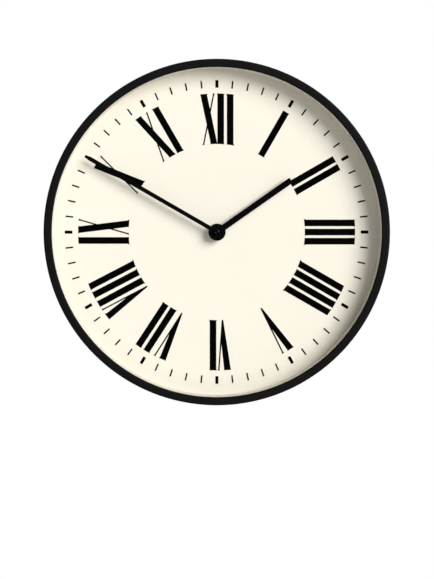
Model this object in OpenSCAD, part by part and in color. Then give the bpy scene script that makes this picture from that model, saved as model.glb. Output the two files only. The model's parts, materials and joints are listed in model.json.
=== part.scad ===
// Round wall clock with a battery quartz movement.
// The hands turn about the Y axis: the front faces -Y, +X is right and +Z is up.
// The origin is on the hands' axis, in the plane of the wall.
// Heights are measured off the wall, and movement depths back from the movement's front face.

/* [Case] */
// Outside diameter of the case
case_d = 450; // [380:5:600]
// Depth of the case, from the wall to the face of the bezel
case_depth = 66; // [62:1:100]
// Thickness of the case's sheet steel
case_sheet = 1.2; // [0.8:0.1:1.6]
// Width of the bezel, seen from the front
bezel_w = 10.7; // [8:0.1:20]
// Radius of the bezel's outer edge
bezel_round = 2.4; // [1.7:0.1:4]
// Radius of the bezel's inner edge
lip_round = 1.8; // [1.7:0.1:2.5]
// How far the bezel's inner edge turns back towards the glass
lip_depth = 3.5; // [2.6:0.1:6]
// Gap between the turned-back edge and the glass
lip_gap = 0.2; // [0.1:0.05:0.5]

/* [Glass and dial] */
// Thickness of the front glass
glass_t = 3; // [2:0.1:4]
// Gap round the edge of the glass
glass_play = 1.5; // [0.5:0.1:3]
// Height of the ring between the glass and the dial
rehaut_h = 22; // [10:0.5:30]
// How much narrower the ring is at the dial than at the glass, on the radius
rehaut_taper = 1.6; // [0:0.1:4]
// Wall of the ring between the glass and the dial
rehaut_wall = 1.4; // [0.8:0.1:2.5]
// Width of the ring's open seam at 6 o'clock
seam_w = 0.9; // [0.3:0.1:2]
// Thickness of the dial plate
dial_t = 0.8; // [0.5:0.1:1.5]
// Thickness of the board behind the dial
board_t = 3.5; // [2:0.1:6]
// Thickness of the printed ink
ink_t = 0.12; // [0.08:0.01:0.3]

/* [Printing] */
// Plain margin between the ring's foot and the minute track
track_margin = 14.5; // [5:0.1:20]
// Length of the minute track's marks
mark_len = 10; // [4:0.1:16]
// Width of the twelve hour marks
hour_mark_w = 4; // [2:0.1:6]
// Width of the minute marks
minute_mark_w = 2; // [0.8:0.05:3]
// Gap between the minute track and the numerals
numeral_gap = 7.5; // [3:0.1:15]
// Height of the numerals
numeral_h = 66; // [40:1:80]
// Width of the numerals' thick strokes
thick_w = 8.6; // [4:0.1:10]
// Width of the numerals' thin strokes
thin_w = 1.8; // [0.6:0.1:2.5]
// Spacing of upright strokes that stand side by side
stroke_pitch = 12; // [9:0.1:16]
// How far a serif reaches out on each side
serif_w = 1; // [0.3:0.1:2]
// Height of a serif
serif_h = 2.2; // [1:0.1:4]

/* [Hands] */
// Hour shown, in hours and parts of an hour
shown_time = 1.8333333; // [0:0.0166667:11.99]
// Width of the hour hand
hour_hand_w = 7.9; // [4:0.1:12]
// Width of the minute hand
minute_hand_w = 5.5; // [3:0.1:10]
// Radius of the round hub of both hands
hand_hub_r = 11.2; // [7:0.1:14]
// Thickness of the hands
hand_t = 1; // [0.5:0.1:1.4]
// How far the hour hand reaches past the numerals' inner circle
hour_hand_reach = 3; // [-20:0.5:30]
// How far the minute hand reaches into the minute track
minute_hand_reach = 4.6; // [-20:0.1:9]
// Height of the hour hand above the dial
hour_hand_lift = 7.4; // [7:0.1:10]
// Height of the minute hand above the dial
minute_hand_lift = 11.6; // [11.4:0.1:14]
// Radius of the domed nut that holds the minute hand
cap_r = 3.6; // [3:0.1:5]
// Height of the domed nut
cap_h = 3.2; // [2.5:0.1:4]

/* [Back] */
// Depth of the back pan's plate from the wall
pan_recess = 8; // [7:0.5:10]
// Thickness of the back pan's sheet
pan_sheet = 1; // [0.8:0.1:1.5]
// Inside radius of the back pan's bend
pan_bend = 2; // [1.6:0.1:3]
// Gap between the back pan and the case
pan_play = 0.3; // [0.1:0.1:1]
// Radius of the stiffening bead pressed into the back pan
bead_circle = 112; // [80:1:125]
// Section radius of the stiffening bead
bead_r = 3; // [2:0.1:4]
// Margin of the back pan's window round the movement
window_margin = 10; // [6:0.5:16]
// Number of spacer posts between the back pan and the board
post_count = 6; // [4:1:8]
// Distance of the posts in from the outside of the case
post_inset = 35; // [28:1:45]
// Radius of a spacer post
post_r = 5; // [4:0.1:8]
// Radius of the post screws
post_screw_r = 2; // [1.5:0.1:2.5]
// Number of screws through the side of the case
side_screw_count = 8; // [4:1:12]
// Radius of the side screws
side_screw_r = 1.4; // [1:0.1:2]
// Radius of the keyhole's round opening
keyhole_r = 5.5; // [4:0.1:7]
// Width of the keyhole's slot
keyhole_slot_w = 5.5; // [4:0.1:7]
// Length of the keyhole's slot, between the centres of its ends
keyhole_len = 13; // [10:0.5:18]
// Height of the keyhole's round opening above the hands' axis
keyhole_z = 155; // [140:1:160]
// Thickness of the hanger plate
hanger_t = 1.5; // [1:0.1:3]
// Width of the hanger plate
hanger_w = 68; // [50:1:80]
// Radius of the rivets that hold the hanger plate
rivet_r = 2; // [1.5:0.1:2.5]

/* [Movement] */
// Width and height of the movement
movement_w = 56; // [54:0.5:70]
// Thickness of the movement
movement_t = 17.5; // [17:0.5:20]
// Distance of the movement's middle below the hands' axis
movement_drop = 3; // [2:0.1:3.5]
// Thickness of the movement's outer walls
shell_wall = 1.5; // [1:0.1:2]
// Thickness of the inner plates that carry the wheels
plate_t = 1.2; // [0.8:0.1:1.4]
// Thickness of the wheels
wheel_t = 0.8; // [0.5:0.1:0.9]
// Thickness of the rubber washer in front of the movement
washer_t = 1; // [0.5:0.1:2]
// Radius of the threaded bush
bush_r = 4; // [3.6:0.1:5]
// Thickness of the dial nut
nut_t = 2.2; // [1.5:0.1:2.5]
// Width of the dial nut across its flats
nut_flats = 11; // [10:0.5:14]
// Thickness of the brass washer under the dial nut
brass_washer_t = 0.6; // [0.4:0.1:1]
// Radius of the setting knob
knob_r = 6.5; // [5:0.1:7.5]
// Height of the setting knob
knob_h = 4; // [3:0.1:4.5]
// Radius of the battery
battery_r = 7.1; // [7:0.05:7.2]
// Length of the battery, with its tip
battery_len = 50.5; // [49.5:0.1:50.6]

/* [Gear train] */
// Tooth module of the centre wheel
centre_module = 0.3; // [0.29:0.005:0.31]
// Tooth module of the fifth wheel
fifth_module = 0.22; // [0.2:0.01:0.22]
// Tooth module of the transfer wheel
transfer_module = 0.35; // [0.33:0.01:0.36]
// Teeth of the centre wheel
centre_teeth = 64; // [64:1:64]
// Teeth of the third, seconds and fifth wheels
train_teeth = 60; // [60:1:60]

/* [Fits] */
// Radial clearance of everything that turns
running_fit = 0.05; // [0.02:0.01:0.08]
// Radial clearance of parts fixed together
fixed_fit = 0.02; // [0.01:0.01:0.05]
// Gap between turning layers
layer_gap = 0.4; // [0.3:0.05:0.45]

/* [Hidden] */
$fn = 96;
thin = 0.01;

// case and glass
case_r = case_d / 2;
case_bore_r = case_r - case_sheet;
bezel_bore_r = case_r - bezel_w;
glass_front = case_depth - lip_depth - lip_gap;
glass_back = glass_front - glass_t;
glass_r = case_bore_r - glass_play;
dial_r = glass_r - 0.5;
dial_front = glass_back - rehaut_h;
dial_back = dial_front - dial_t;
board_back = dial_back - board_t;
rehaut_cover = 0.7;
rehaut_flange_t = 1.2;
rehaut_front_r = bezel_bore_r + rehaut_cover;
rehaut_foot_r = rehaut_front_r - rehaut_taper;

// printing
track_r = rehaut_foot_r - track_margin;
numeral_r = track_r - mark_len - numeral_gap;
numeral_foot_r = numeral_r - numeral_h;

// shapes of the numerals: how far an X's strokes lean, a V's reach to either side, the height
// of its fork, the width of its apex, and how far outlines run past the circles that trim them
cross_lean = 13.6;
vee_left = 7.3;
vee_right = 4.4;
vee_fork_h = 31;
apex_w = 2;
spill = 2;

// back pan
pan_front = pan_recess + pan_sheet;
pan_r = case_bore_r - pan_play;
pan_edge = 1.5;
post_circle = case_r - post_inset;
post_screw_bite = board_t - 1;
side_screw_y = (pan_edge + pan_recess) / 2;
keyhole_top = keyhole_z + keyhole_len;
hanger_low = keyhole_z - keyhole_r - 8;
hanger_high = keyhole_top + 11;
hanger_corner = 5;
rivet_inset = 7;
pan_hole_margin = 2;
window_corner = 8;
screw_fit = 0.1;

// movement, as depths behind its front face
movement_front = board_back - washer_t;
floor_back = shell_wall;
bush_flange_t = 0.6;
hour_front = floor_back + bush_flange_t + layer_gap;
hour_back = hour_front + wheel_t;
transfer_front = hour_back + layer_gap;
transfer_back = transfer_front + wheel_t;
middle_front = transfer_back + layer_gap;
middle_back = middle_front + plate_t;
centre_front = middle_back + layer_gap;
centre_back = centre_front + wheel_t;
third_front = centre_back + layer_gap;
third_back = third_front + wheel_t;
seconds_front = third_back + layer_gap;
seconds_back = seconds_front + wheel_t;
fifth_front = seconds_back + layer_gap;
fifth_back = fifth_front + wheel_t;
bridge_front = fifth_back + layer_gap;
bridge_back = bridge_front + plate_t;
cover_t = 1.5;
panel_inset = 5;
cover_front = movement_t - cover_t;

// movement outline
movement_corner = 3;
movement_x = movement_w / 2;
movement_low = -movement_x - movement_drop;
movement_top = movement_x - movement_drop;
bay_wall = 1.4;
battery_play = 0.3;
bay_h = 2 * (battery_r + battery_play);
bay_low = movement_low + bay_wall;
bay_top = bay_low + bay_h;
battery_z = (bay_low + bay_top) / 2;
battery_depth = movement_t - battery_r - battery_play;
bay_floor = battery_depth - battery_r - battery_play;
bay_partition = 2;
chamber_low = bay_top + bay_partition;
rebate = 0.6;
chamber_x = movement_x - shell_wall - rebate;
chamber_top = movement_top - shell_wall - rebate;
pillar_r = 2;
pillar_inset = 2.5;
pillars = [
    for (x = [-1, 1], z = [chamber_low + pillar_inset, chamber_top - pillar_inset])
        [x * (chamber_x - pillar_inset), z]
];
movement_screw_r = 0.75;
movement_screw_bite = 1.5;
finger_notch = 18;
slot_w = 6;
plate_play = 0.15;
pivot_floor = shell_wall / 2;
pivot_gap = 0.1;
shoulder_gap = 0.15;

// shafts on the hands' axis
seconds_shaft_r = 0.5;
minute_bore_r = seconds_shaft_r + running_fit;
minute_shaft_r = 1.5;
hour_bore_r = minute_shaft_r + running_fit;
hour_pipe_r = 2.5;
bush_bore_r = hour_pipe_r + running_fit;
pivot_r = 0.5;
staff_r = 0.8;
rotor_pivot_r = 0.4;
knob_shaft_r = 1;
hour_hand_back = dial_front + hour_hand_lift;
minute_hand_back = dial_front + minute_hand_lift;
minute_hand_front = minute_hand_back + hand_t;
hour_hand_front = hour_hand_back + hand_t;
bush_thread_end = 1.4;
arbor_thread = 1.2;
bush_front = dial_front + brass_washer_t + nut_t + bush_thread_end;
bush_flange_r = 5.5;
hour_collet_r = 4;
minute_collet_r = 2.6;
collet_flange_w = 1.6;
collet_tail = 1.6;

// tooth counts and the shapes of the teeth: [height above and depth below the pitch circle,
// in modules, then the width at the root, pitch circle, flank and tip, as shares of the pitch]
third_leaves = 8;
seconds_leaves = 8;
fifth_leaves = 10;
rotor_leaves = 12;
minute_leaves = 12;
transfer_teeth = 36;
transfer_leaves = 10;
hour_teeth = 40;
setting_teeth = 18;
WHEEL_TOOTH = [0.95, 1.35, 0.50, 0.42, 0.30, 0.12];
LEAF_TOOTH = [0.75, 1.45, 0.30, 0.36, 0.30, 0.14];

// centre distances; the fifth wheel's staff runs just outside the centre wheel's teeth
third_dist = (centre_teeth + third_leaves) * centre_module / 2;
third_module = 2 * third_dist / (train_teeth + seconds_leaves);
centre_tip_r = (centre_teeth / 2 + WHEEL_TOOTH[0]) * centre_module;
staff_gap = 0.27;
fifth_dist = centre_tip_r + staff_r + staff_gap;
seconds_module = 2 * fifth_dist / (train_teeth + fifth_leaves);
rotor_dist = (train_teeth + rotor_leaves) * fifth_module / 2;
transfer_dist = (transfer_teeth + minute_leaves) * transfer_module / 2;
hour_module = 2 * transfer_dist / (hour_teeth + transfer_leaves);
setting_dist = (transfer_teeth + setting_teeth) * transfer_module / 2;

// directions from one axis to the next, anticlockwise from +X as seen from the front
third_dir = -10;
fifth_dir = 160;
rotor_dir = 200;
transfer_dir = 60;
setting_dir = 20;
third_at = third_dist * [cos(third_dir), sin(third_dir)];
fifth_at = fifth_dist * [cos(fifth_dir), sin(fifth_dir)];
rotor_at = fifth_at + rotor_dist * [cos(rotor_dir), sin(rotor_dir)];
transfer_at = transfer_dist * [cos(transfer_dir), sin(transfer_dir)];
setting_at = transfer_at + setting_dist * [cos(setting_dir), sin(setting_dir)];

// turns that put each pinion and wheel in mesh; the driving wheel of each pair is drawn unturned
centre_turn = 0;
third_turn = 0;
seconds_turn = 0;
fifth_turn = 0;
minute_turn = 0;
hour_turn = 0;
third_leaf_turn = mesh_turn(third_dir, centre_teeth, centre_turn, third_leaves);
seconds_leaf_turn = mesh_turn(third_dir + 180, train_teeth, third_turn, seconds_leaves);
fifth_leaf_turn = mesh_turn(fifth_dir, train_teeth, seconds_turn, fifth_leaves);
rotor_leaf_turn = mesh_turn(rotor_dir, train_teeth, fifth_turn, rotor_leaves);
transfer_turn = mesh_turn(transfer_dir, minute_leaves, minute_turn, transfer_teeth);
setting_turn = mesh_turn(setting_dir, transfer_teeth, transfer_turn, setting_teeth);
transfer_leaf_turn = mesh_turn(transfer_dir, hour_teeth, hour_turn, transfer_leaves);

// wheels: how far a pinion overlaps its wheel's layer, the web's hub and edges, and the rim
overhang = 0.15;
web_hub_r = 2.2;
web_edge = 0.3;
rim_w = 1;

// coil and circuit
coil_z = 15.5;
coil_left = -20.5;
coil_right = -4.5;
stator_t = 0.8;
stator_r = 5.4;
stator_leg_w = 2.4;
stator_front = centre_back + 0.6;
stator_back = stator_front + stator_t;
core_back = stator_back + stator_t;
coil_depth = stator_back + stator_t / 2;
coil_r = 2.4;
knee_z = coil_z - coil_r - stator_leg_w / 2 - layer_gap;
winding_inset = 0.2;
core_w = 1.6;
core_play = 0.02;
coil_end = 2;
coil_len = coil_right - coil_left - 2 * coil_end;
flange_w = 0.6;
sleeve_r = 1.15;
magnet_r = 2.8;
coil_screw_r = 0.5;
seat_r = 1.3;
circuit_front = middle_back + 2.2;
circuit_t = 0.8;
circuit_back = circuit_front + circuit_t;
circuit_left = -20.8;
circuit_right = -8.2;
circuit_low = chamber_low + 0.6;
circuit_top = circuit_low + 6.5;
circuit_mid_z = (circuit_low + circuit_top) / 2;

// contacts
bay_x = movement_x - bay_wall;
contact_t = 0.4;
contact_h = 9;
contact_front = battery_depth - 5;
contact_back = battery_depth + 5;
dimple_h = 0.5;
contact_gap = 0.1;
battery_right = bay_x - contact_t - dimple_h - contact_gap;
battery_left = battery_right - battery_len;
tip_len = 1.3;
tip_r = 2.75;
jacket_t = 0.2;
jacket_edge = 0.6;
strip_front = circuit_front;
strip_back = strip_front + 2;
strip_z = chamber_low + contact_gap;

// ---------- placing ----------

// stands a shape drawn as seen from the front at a height off the wall, growing forwards
module off_wall(height) {
    translate([0, -height, 0]) rotate([90, 0, 0]) children();
}

// an outline made a layer between two depths behind the movement's front face
module layer(front, back) {
    off_wall(movement_front - back) linear_extrude(back - front) children();
}

// a profile of radius and height off the wall, turned about the hands' axis
module turned() {
    rotate([90, 0, 0]) rotate_extrude() children();
}

module ring(outer, inner, low, high) {
    turned() translate([inner, low]) square([outer - inner, high - low]);
}

module disc(r, low, high) {
    off_wall(low) linear_extrude(high - low) circle(r);
}

// a round bar between two depths in the movement
module bar(at, r, front, back) {
    layer(front, back) translate(at) circle(r);
}

// copies a shape evenly round the hands' axis
module around(count, start = 0) {
    for (i = [0 : count - 1]) {
        rotate([0, start + i * 360 / count, 0]) children();
    }
}

// ---------- outlines ----------

module rounded_box(left, low, right, top, r) {
    translate([left + r, low]) square([right - left - 2 * r, top - low]);
    translate([left, low + r]) square([right - left, top - low - 2 * r]);
    for (x = [left + r, right - r], y = [low + r, top - r]) {
        translate([x, y]) circle(r);
    }
}

module box_outline(left, low, right, top) {
    translate([left, low]) square([right - left, top - low]);
}

// a quarter of a ring about a corner, open towards the quadrant named by its two signs
module quarter_bend(at, outer, inner, sx, sy) {
    translate(at) intersection() {
        difference() {
            circle(outer);
            circle(inner);
        }
        scale([sx, sy]) square(outer + 1);
    }
}

// a straight strip with round ends
module strip(from, to, w) {
    run = to - from;
    translate(from) rotate(atan2(run[1], run[0])) translate([0, -w / 2]) square([norm(run), w]);
    for (p = [from, to]) {
        translate(p) circle(w / 2);
    }
}

// ---------- gear teeth ----------

// the four heights of a tooth's flank and the tooth's width at each
function tooth_flank(teeth, mod, tooth) = [
    [teeth * mod / 2 - tooth[1] * mod, tooth[2]],
    [teeth * mod / 2, tooth[3]],
    [teeth * mod / 2 + 0.55 * tooth[0] * mod, tooth[4]],
    [teeth * mod / 2 + tooth[0] * mod, tooth[5]]
];

function polar(r, angle) = [r * cos(angle), r * sin(angle)];

function gear_points(teeth, mod, tooth) = [
    for (i = [0 : teeth - 1], side = [-1, 1], k = [0 : 3])
        let (row = tooth_flank(teeth, mod, tooth)[side < 0 ? k : 3 - k])
            polar(row[0], (i + side * row[1] / 2) * 360 / teeth)
];

// the turn that puts a gear in mesh with one whose own turn is known
function mesh_turn(direction, teeth_a, turn_a, teeth_b) =
    direction + 180 - 180 / teeth_b + (direction - turn_a) * teeth_a / teeth_b;

module gear(at, teeth, mod, tooth, turn, front, back) {
    layer(front, back) translate(at) rotate(turn) polygon(gear_points(teeth, mod, tooth));
}

// round lightening holes through a wheel, in the web between its hub and the rim under its teeth
module wheel_holes(at, count, hub_r, pitch_r, front, back) {
    web_r = pitch_r - rim_w;
    layer(front - 1, back + 1) translate(at) for (i = [1 : count]) {
        rotate(i * 360 / count) translate([(hub_r + web_r) / 2, 0]) circle((web_r - hub_r) / 2 - web_edge);
    }
}

// ---------- case ----------

module case_profile() {
    square_low = case_depth - bezel_round;
    translate([case_bore_r, 0]) square([case_sheet, square_low]);
    quarter_bend([case_r - bezel_round, square_low], bezel_round, bezel_round - case_sheet, 1, 1);
    translate([bezel_bore_r + lip_round, case_depth - case_sheet])
        square([bezel_w - lip_round - bezel_round, case_sheet]);
    quarter_bend([bezel_bore_r + lip_round, case_depth - lip_round],
        lip_round, lip_round - case_sheet, -1, 1);
    translate([bezel_bore_r, case_depth - lip_depth]) square([case_sheet, lip_depth - lip_round]);
}

// places a radial screw's shape, drawn along +Z from the case's outside, round the side
module side_places() {
    around(side_screw_count, 180 / side_screw_count) translate([0, -side_screw_y, case_r]) children();
}

module case_shell() {
    color("#1b1b1b") difference() {
        turned() case_profile();
        side_places() translate([0, 0, -2 * case_sheet])
            cylinder(h = 3 * case_sheet, r = side_screw_r + screw_fit);
    }
}

module glass_gasket() {
    inset = 0.5;
    inner = bezel_bore_r + case_sheet + inset;
    color("#202020") ring(case_r - bezel_round - inset, inner, glass_front, case_depth - case_sheet);
}

module front_glass() {
    color("#e8f2f0", 0.25) disc(glass_r, glass_back, glass_front);
}

module rehaut_ring() {
    foot_r = rehaut_foot_r + rehaut_wall / 2;
    color("#f7efd9") difference() {
        turned() {
            polygon([
                [rehaut_foot_r, dial_front],
                [rehaut_foot_r + rehaut_wall, dial_front],
                [rehaut_front_r + rehaut_wall, glass_back],
                [rehaut_front_r, glass_back]
            ]);
            translate([foot_r, dial_front]) square([dial_r - foot_r, rehaut_flange_t]);
        }
        off_wall(dial_front - 1) translate([-seam_w / 2, -case_r, 0])
            cube([seam_w, case_r - rehaut_foot_r + 1, rehaut_h + 2]);
    }
}

// ---------- dial ----------

module dial_plate() {
    color("#fff6e2") difference() {
        disc(dial_r, dial_back, dial_front);
        disc(bush_r + screw_fit, dial_back - 1, dial_front + 1);
    }
}

module dial_board() {
    color("#8a6a45") difference() {
        disc(dial_r, board_back, dial_back);
        disc(bush_r + screw_fit, board_back - 1, dial_back + 1);
        around(post_count, 180 / post_count) translate([0, 0, post_circle])
            off_wall(board_back - 1) cylinder(h = 1 + post_screw_bite + 0.5, r = post_screw_r + fixed_fit);
    }
}

module minute_track() {
    color("#0a0a0a") off_wall(dial_front) linear_extrude(ink_t) for (i = [0 : 59]) {
        w = i % 5 == 0 ? hour_mark_w : minute_mark_w;
        rotate(-6 * i) translate([-w / 2, track_r - mark_len]) square([w, mark_len]);
    }
}

function circle_y(r, x) = sqrt(r * r - x * x);

// the sideways place, at a height, of a line from the numerals' outer circle to the inner one
function stroke_x(outer_x, inner_x, y) =
    inner_x + (outer_x - inner_x) * (y - numeral_foot_r) / numeral_h;

// the heights of a serif's points from its stroke to the circle, with half the width at each
function serif_rows(edge_y, half, way) = [
    [edge_y - way * serif_h, half],
    [edge_y - way * serif_h / 3, half + serif_w / 4],
    [edge_y, half + serif_w],
    [edge_y + way * spill, half + serif_w]
];

function reversed(list) = [for (i = [len(list) - 1 : -1 : 0]) list[i]];

function along_stroke(outer_x, inner_x, side, rows) =
    [for (row = rows) [stroke_x(outer_x, inner_x, row[0]) + side * row[1], row[0]]];

// one side of a stroke's top serif, and of its foot serif, from the foot upwards
function top_side(outer_x, inner_x, half, side) =
    along_stroke(outer_x, inner_x, side, serif_rows(circle_y(numeral_r, outer_x), half, 1));

function foot_side(outer_x, inner_x, half, side) = along_stroke(outer_x, inner_x, side,
    reversed(serif_rows(circle_y(numeral_foot_r, inner_x), half, -1)));

// a serifed stroke; letters stand between the two circles, at the places of their middle lines there
module stroke(outer_x, inner_x, w) {
    polygon(concat(
        foot_side(outer_x, inner_x, w / 2, -1), top_side(outer_x, inner_x, w / 2, -1),
        reversed(top_side(outer_x, inner_x, w / 2, 1)), reversed(foot_side(outer_x, inner_x, w / 2, 1))
    ));
}

module letter_i(outer, inner) {
    stroke(outer, inner, thick_w);
}

module letter_x(outer, inner) {
    stroke(outer - cross_lean / 2, inner + cross_lean / 2, thick_w);
    stroke(outer + cross_lean / 2, inner - cross_lean / 2, thin_w);
}

// the thick and the thin stroke meet in a narrow apex on the inner circle
module letter_v(outer, inner) {
    thick_top = outer - vee_left;
    thick_foot = inner + (thick_w - apex_w) / 2;
    thin_top = outer + vee_right;
    thin_foot = inner + (apex_w - thin_w) / 2;
    fork_y = numeral_foot_r + vee_fork_h;
    foot_y = numeral_foot_r - spill;
    polygon(concat(
        [[stroke_x(thick_top, thick_foot, foot_y) - thick_w / 2, foot_y]],
        top_side(thick_top, thick_foot, thick_w / 2, -1),
        reversed(top_side(thick_top, thick_foot, thick_w / 2, 1)),
        [[stroke_x(thin_top, thin_foot, fork_y) - thin_w / 2, fork_y]],
        top_side(thin_top, thin_foot, thin_w / 2, -1),
        reversed(top_side(thin_top, thin_foot, thin_w / 2, 1)),
        [[stroke_x(thin_top, thin_foot, foot_y) + thin_w / 2, foot_y]]
    ));
}

// each numeral's letters, with the places of each letter's middle line at the outer and inner circle
function uprights(count) = [
    for (i = [0 : count - 1])
        let (x = (i - (count - 1) / 2) * stroke_pitch) ["I", x, x]
];

NUMERALS = [
    [["X", -10.9, -10.4], ["I", 5.0, 5.0], ["I", 17.4, 17.4]],
    uprights(1),
    uprights(2),
    uprights(3),
    uprights(4),
    [["V", -0.1, -0.3]],
    [["V", -6.9, -7.3], ["I", 5.1, 5.1]],
    [["V", -14.7, -13.4], ["I", 2.1, -1.2], ["I", 14.7, 10.8]],
    [["V", -17.4, -15.8], ["I", -4.2, -6.1], ["I", 9.0, 6.1], ["I", 21.4, 18.4]],
    [["I", -10.9, -10.9], ["X", 9.9, 4.4]],
    [["X", 3.2, -0.9]],
    [["X", -8.1, -7.0], ["I", 11.3, 11.3]]
];

module numeral(letters) {
    for (letter = letters) {
        if (letter[0] == "I") letter_i(letter[1], letter[2]);
        if (letter[0] == "V") letter_v(letter[1], letter[2]);
        if (letter[0] == "X") letter_x(letter[1], letter[2]);
    }
}

module numerals() {
    color("#0a0a0a") off_wall(dial_front) linear_extrude(ink_t) intersection() {
        for (i = [0 : 11]) {
            rotate(-30 * i) numeral(NUMERALS[i]);
        }
        difference() {
            circle(numeral_r);
            circle(numeral_foot_r);
        }
    }
}

// ---------- back ----------

// a pan-head screw along +Z, with the underside of its head at 0 and its point below
module pan_screw(shank_r, head_r, head_h, len) {
    difference() {
        union() {
            translate([0, 0, -len]) cylinder(h = len + thin, r = shank_r);
            rotate_extrude() {
                square([head_r, head_h / 2]);
                square([head_r - head_h / 2, head_h]);
                translate([head_r - head_h / 2, head_h / 2]) circle(head_h / 2);
            }
        }
        for (turn = [0, 90]) {
            rotate(turn) translate([-head_r / 2, -head_h / 6, head_h / 2]) cube([head_r, head_h / 3, head_h]);
        }
        translate([0, 0, -len - head_r]) cube([2 * head_r, 2 * head_r, 2 * head_r], center = true);
    }
}

// a screw seen from behind, its head on a face at a height off the wall and its point forwards
module rear_screw(height, shank_r, head_r, head_h, len) {
    translate([0, -height, 0]) rotate([-90, 0, 0]) pan_screw(shank_r, head_r, head_h, len);
}

module post_places() {
    around(post_count, 180 / post_count) translate([0, 0, post_circle]) children();
}

module spacer_posts() {
    color("#c9c9c4") post_places() off_wall(pan_front) difference() {
        cylinder(h = board_back - pan_front, r = post_r);
        translate([0, 0, -1]) cylinder(h = board_back, r = post_screw_r + screw_fit);
    }
}

module post_screws() {
    len = board_back - pan_recess + post_screw_bite;
    head_h = 1.2 * post_screw_r;
    color("#b9b9b5") post_places() rear_screw(pan_recess, post_screw_r, 2 * post_screw_r, head_h, len);
}

module side_screws() {
    past_pan = 2.5;
    reach = case_sheet + pan_play + pan_sheet + past_pan;
    color("#26262a") side_places() pan_screw(side_screw_r, 2 * side_screw_r, side_screw_r, reach);
}

module pan_profile() {
    flange_top = pan_front - pan_bend - pan_sheet;
    bend_at = [pan_r - pan_bend - pan_sheet, flange_top];
    bead_gap = 2 * (bead_r - pan_sheet);
    difference() {
        translate([0, pan_recess]) square([bend_at[0], pan_sheet]);
        translate([bead_circle - bead_gap / 2, pan_recess - 1]) square([bead_gap, pan_sheet + 2]);
    }
    quarter_bend(bend_at, pan_bend + pan_sheet, pan_bend, 1, 1);
    translate([pan_r - pan_sheet, pan_edge]) square([pan_sheet, flange_top - pan_edge]);
    for (sx = [-1, 1]) {
        quarter_bend([bead_circle, pan_recess], bead_r, bead_r - pan_sheet, sx, 1);
    }
}

// starts a cut a little behind the pan's plate
module through_pan() {
    off_wall(pan_recess - 1) children();
}

module back_pan() {
    window_x = movement_x + window_margin;
    window_low = movement_low - window_margin;
    window_top = movement_top + window_margin;
    hole_r = keyhole_r + pan_hole_margin;
    color("#232325") difference() {
        turned() pan_profile();
        through_pan() linear_extrude(pan_sheet + 2)
            rounded_box(-window_x, window_low, window_x, window_top, window_corner);
        through_pan() linear_extrude(pan_sheet + 2)
            strip([0, keyhole_z], [0, keyhole_top], 2 * hole_r);
        post_places() through_pan() cylinder(h = pan_sheet + 2, r = post_screw_r + screw_fit);
        hanger_rivet_places() through_pan() cylinder(h = pan_sheet + 2, r = rivet_r + fixed_fit);
        side_places() translate([0, 0, case_bore_r - case_r - 2 * pan_sheet])
            cylinder(h = 2 * pan_sheet + case_sheet, r = side_screw_r + fixed_fit);
    }
}

module hanger_rivet_places() {
    for (x = [-1, 1], z = [hanger_low + rivet_inset, hanger_high - rivet_inset]) {
        translate([x * (hanger_w / 2 - rivet_inset), 0, z]) children();
    }
}

module hanger_plate() {
    color("#b4b6b8") difference() {
        off_wall(pan_front) linear_extrude(hanger_t) difference() {
            rounded_box(-hanger_w / 2, hanger_low, hanger_w / 2, hanger_high, hanger_corner);
            strip([0, keyhole_z], [0, keyhole_top], keyhole_slot_w);
        }
        translate([0, 0, keyhole_z]) through_pan() cylinder(h = pan_sheet + hanger_t + 2, r = keyhole_r);
        hanger_rivet_places() through_pan() cylinder(h = pan_sheet + hanger_t + 2, r = rivet_r + fixed_fit);
    }
}

module hanger_rivets() {
    grip = pan_sheet + hanger_t;
    head_t = 1;
    head_r = 1.75 * rivet_r;
    color("#9d9fa2") hanger_rivet_places() off_wall(pan_recess) {
        cylinder(h = grip, r = rivet_r);
        translate([0, 0, -head_t]) rotate_extrude() {
            translate([0, head_t / 2]) square([head_r, head_t / 2]);
            square([head_r - head_t / 2, head_t]);
        }
        translate([0, 0, grip]) cylinder(h = head_t, r = head_r - head_t / 2);
    }
}

// ---------- movement shell ----------

module pillar_places() {
    for (at = pillars) {
        translate(at) children();
    }
}

module movement_outline() {
    rounded_box(-movement_x, movement_low, movement_x, movement_top, movement_corner);
}

// the outline of the wheels' chamber, grown by a margin on every side
module chamber_outline(margin) {
    box_outline(-chamber_x - margin, chamber_low - margin, chamber_x + margin, chamber_top + margin);
}

module movement_housing() {
    color("#2b2b2e") difference() {
        union() {
            difference() {
                layer(0, movement_t) movement_outline();
                layer(floor_back, movement_t + 1) chamber_outline(0);
                layer(cover_front, movement_t + 1) chamber_outline(rebate);
                layer(bay_floor, movement_t + 1) box_outline(-bay_x, bay_low, bay_x, bay_top);
                // finger notch under the battery
                layer(battery_depth, movement_t + 1)
                    box_outline(-finger_notch / 2, movement_low - 1, finger_notch / 2, bay_low + 1);
                // slots through which the contact strips leave the battery bay
                for (x = [-chamber_x, chamber_x]) {
                    layer(strip_front - screw_fit, movement_t + 1)
                        box_outline(x - slot_w / 2, bay_top - 1, x + slot_w / 2, chamber_low + 1);
                }
            }
            layer(floor_back, middle_front) pillar_places() circle(pillar_r);
        }
        layer(-1, floor_back + 1) circle(bush_r + fixed_fit);
        layer(floor_back + 1, middle_front + 1) pillar_places() circle(movement_screw_r + fixed_fit);
        bar(transfer_at, pivot_r + running_fit, pivot_floor, floor_back + 1);
        bar(setting_at, staff_r + running_fit, pivot_floor, floor_back + 1);
    }
}

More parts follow.
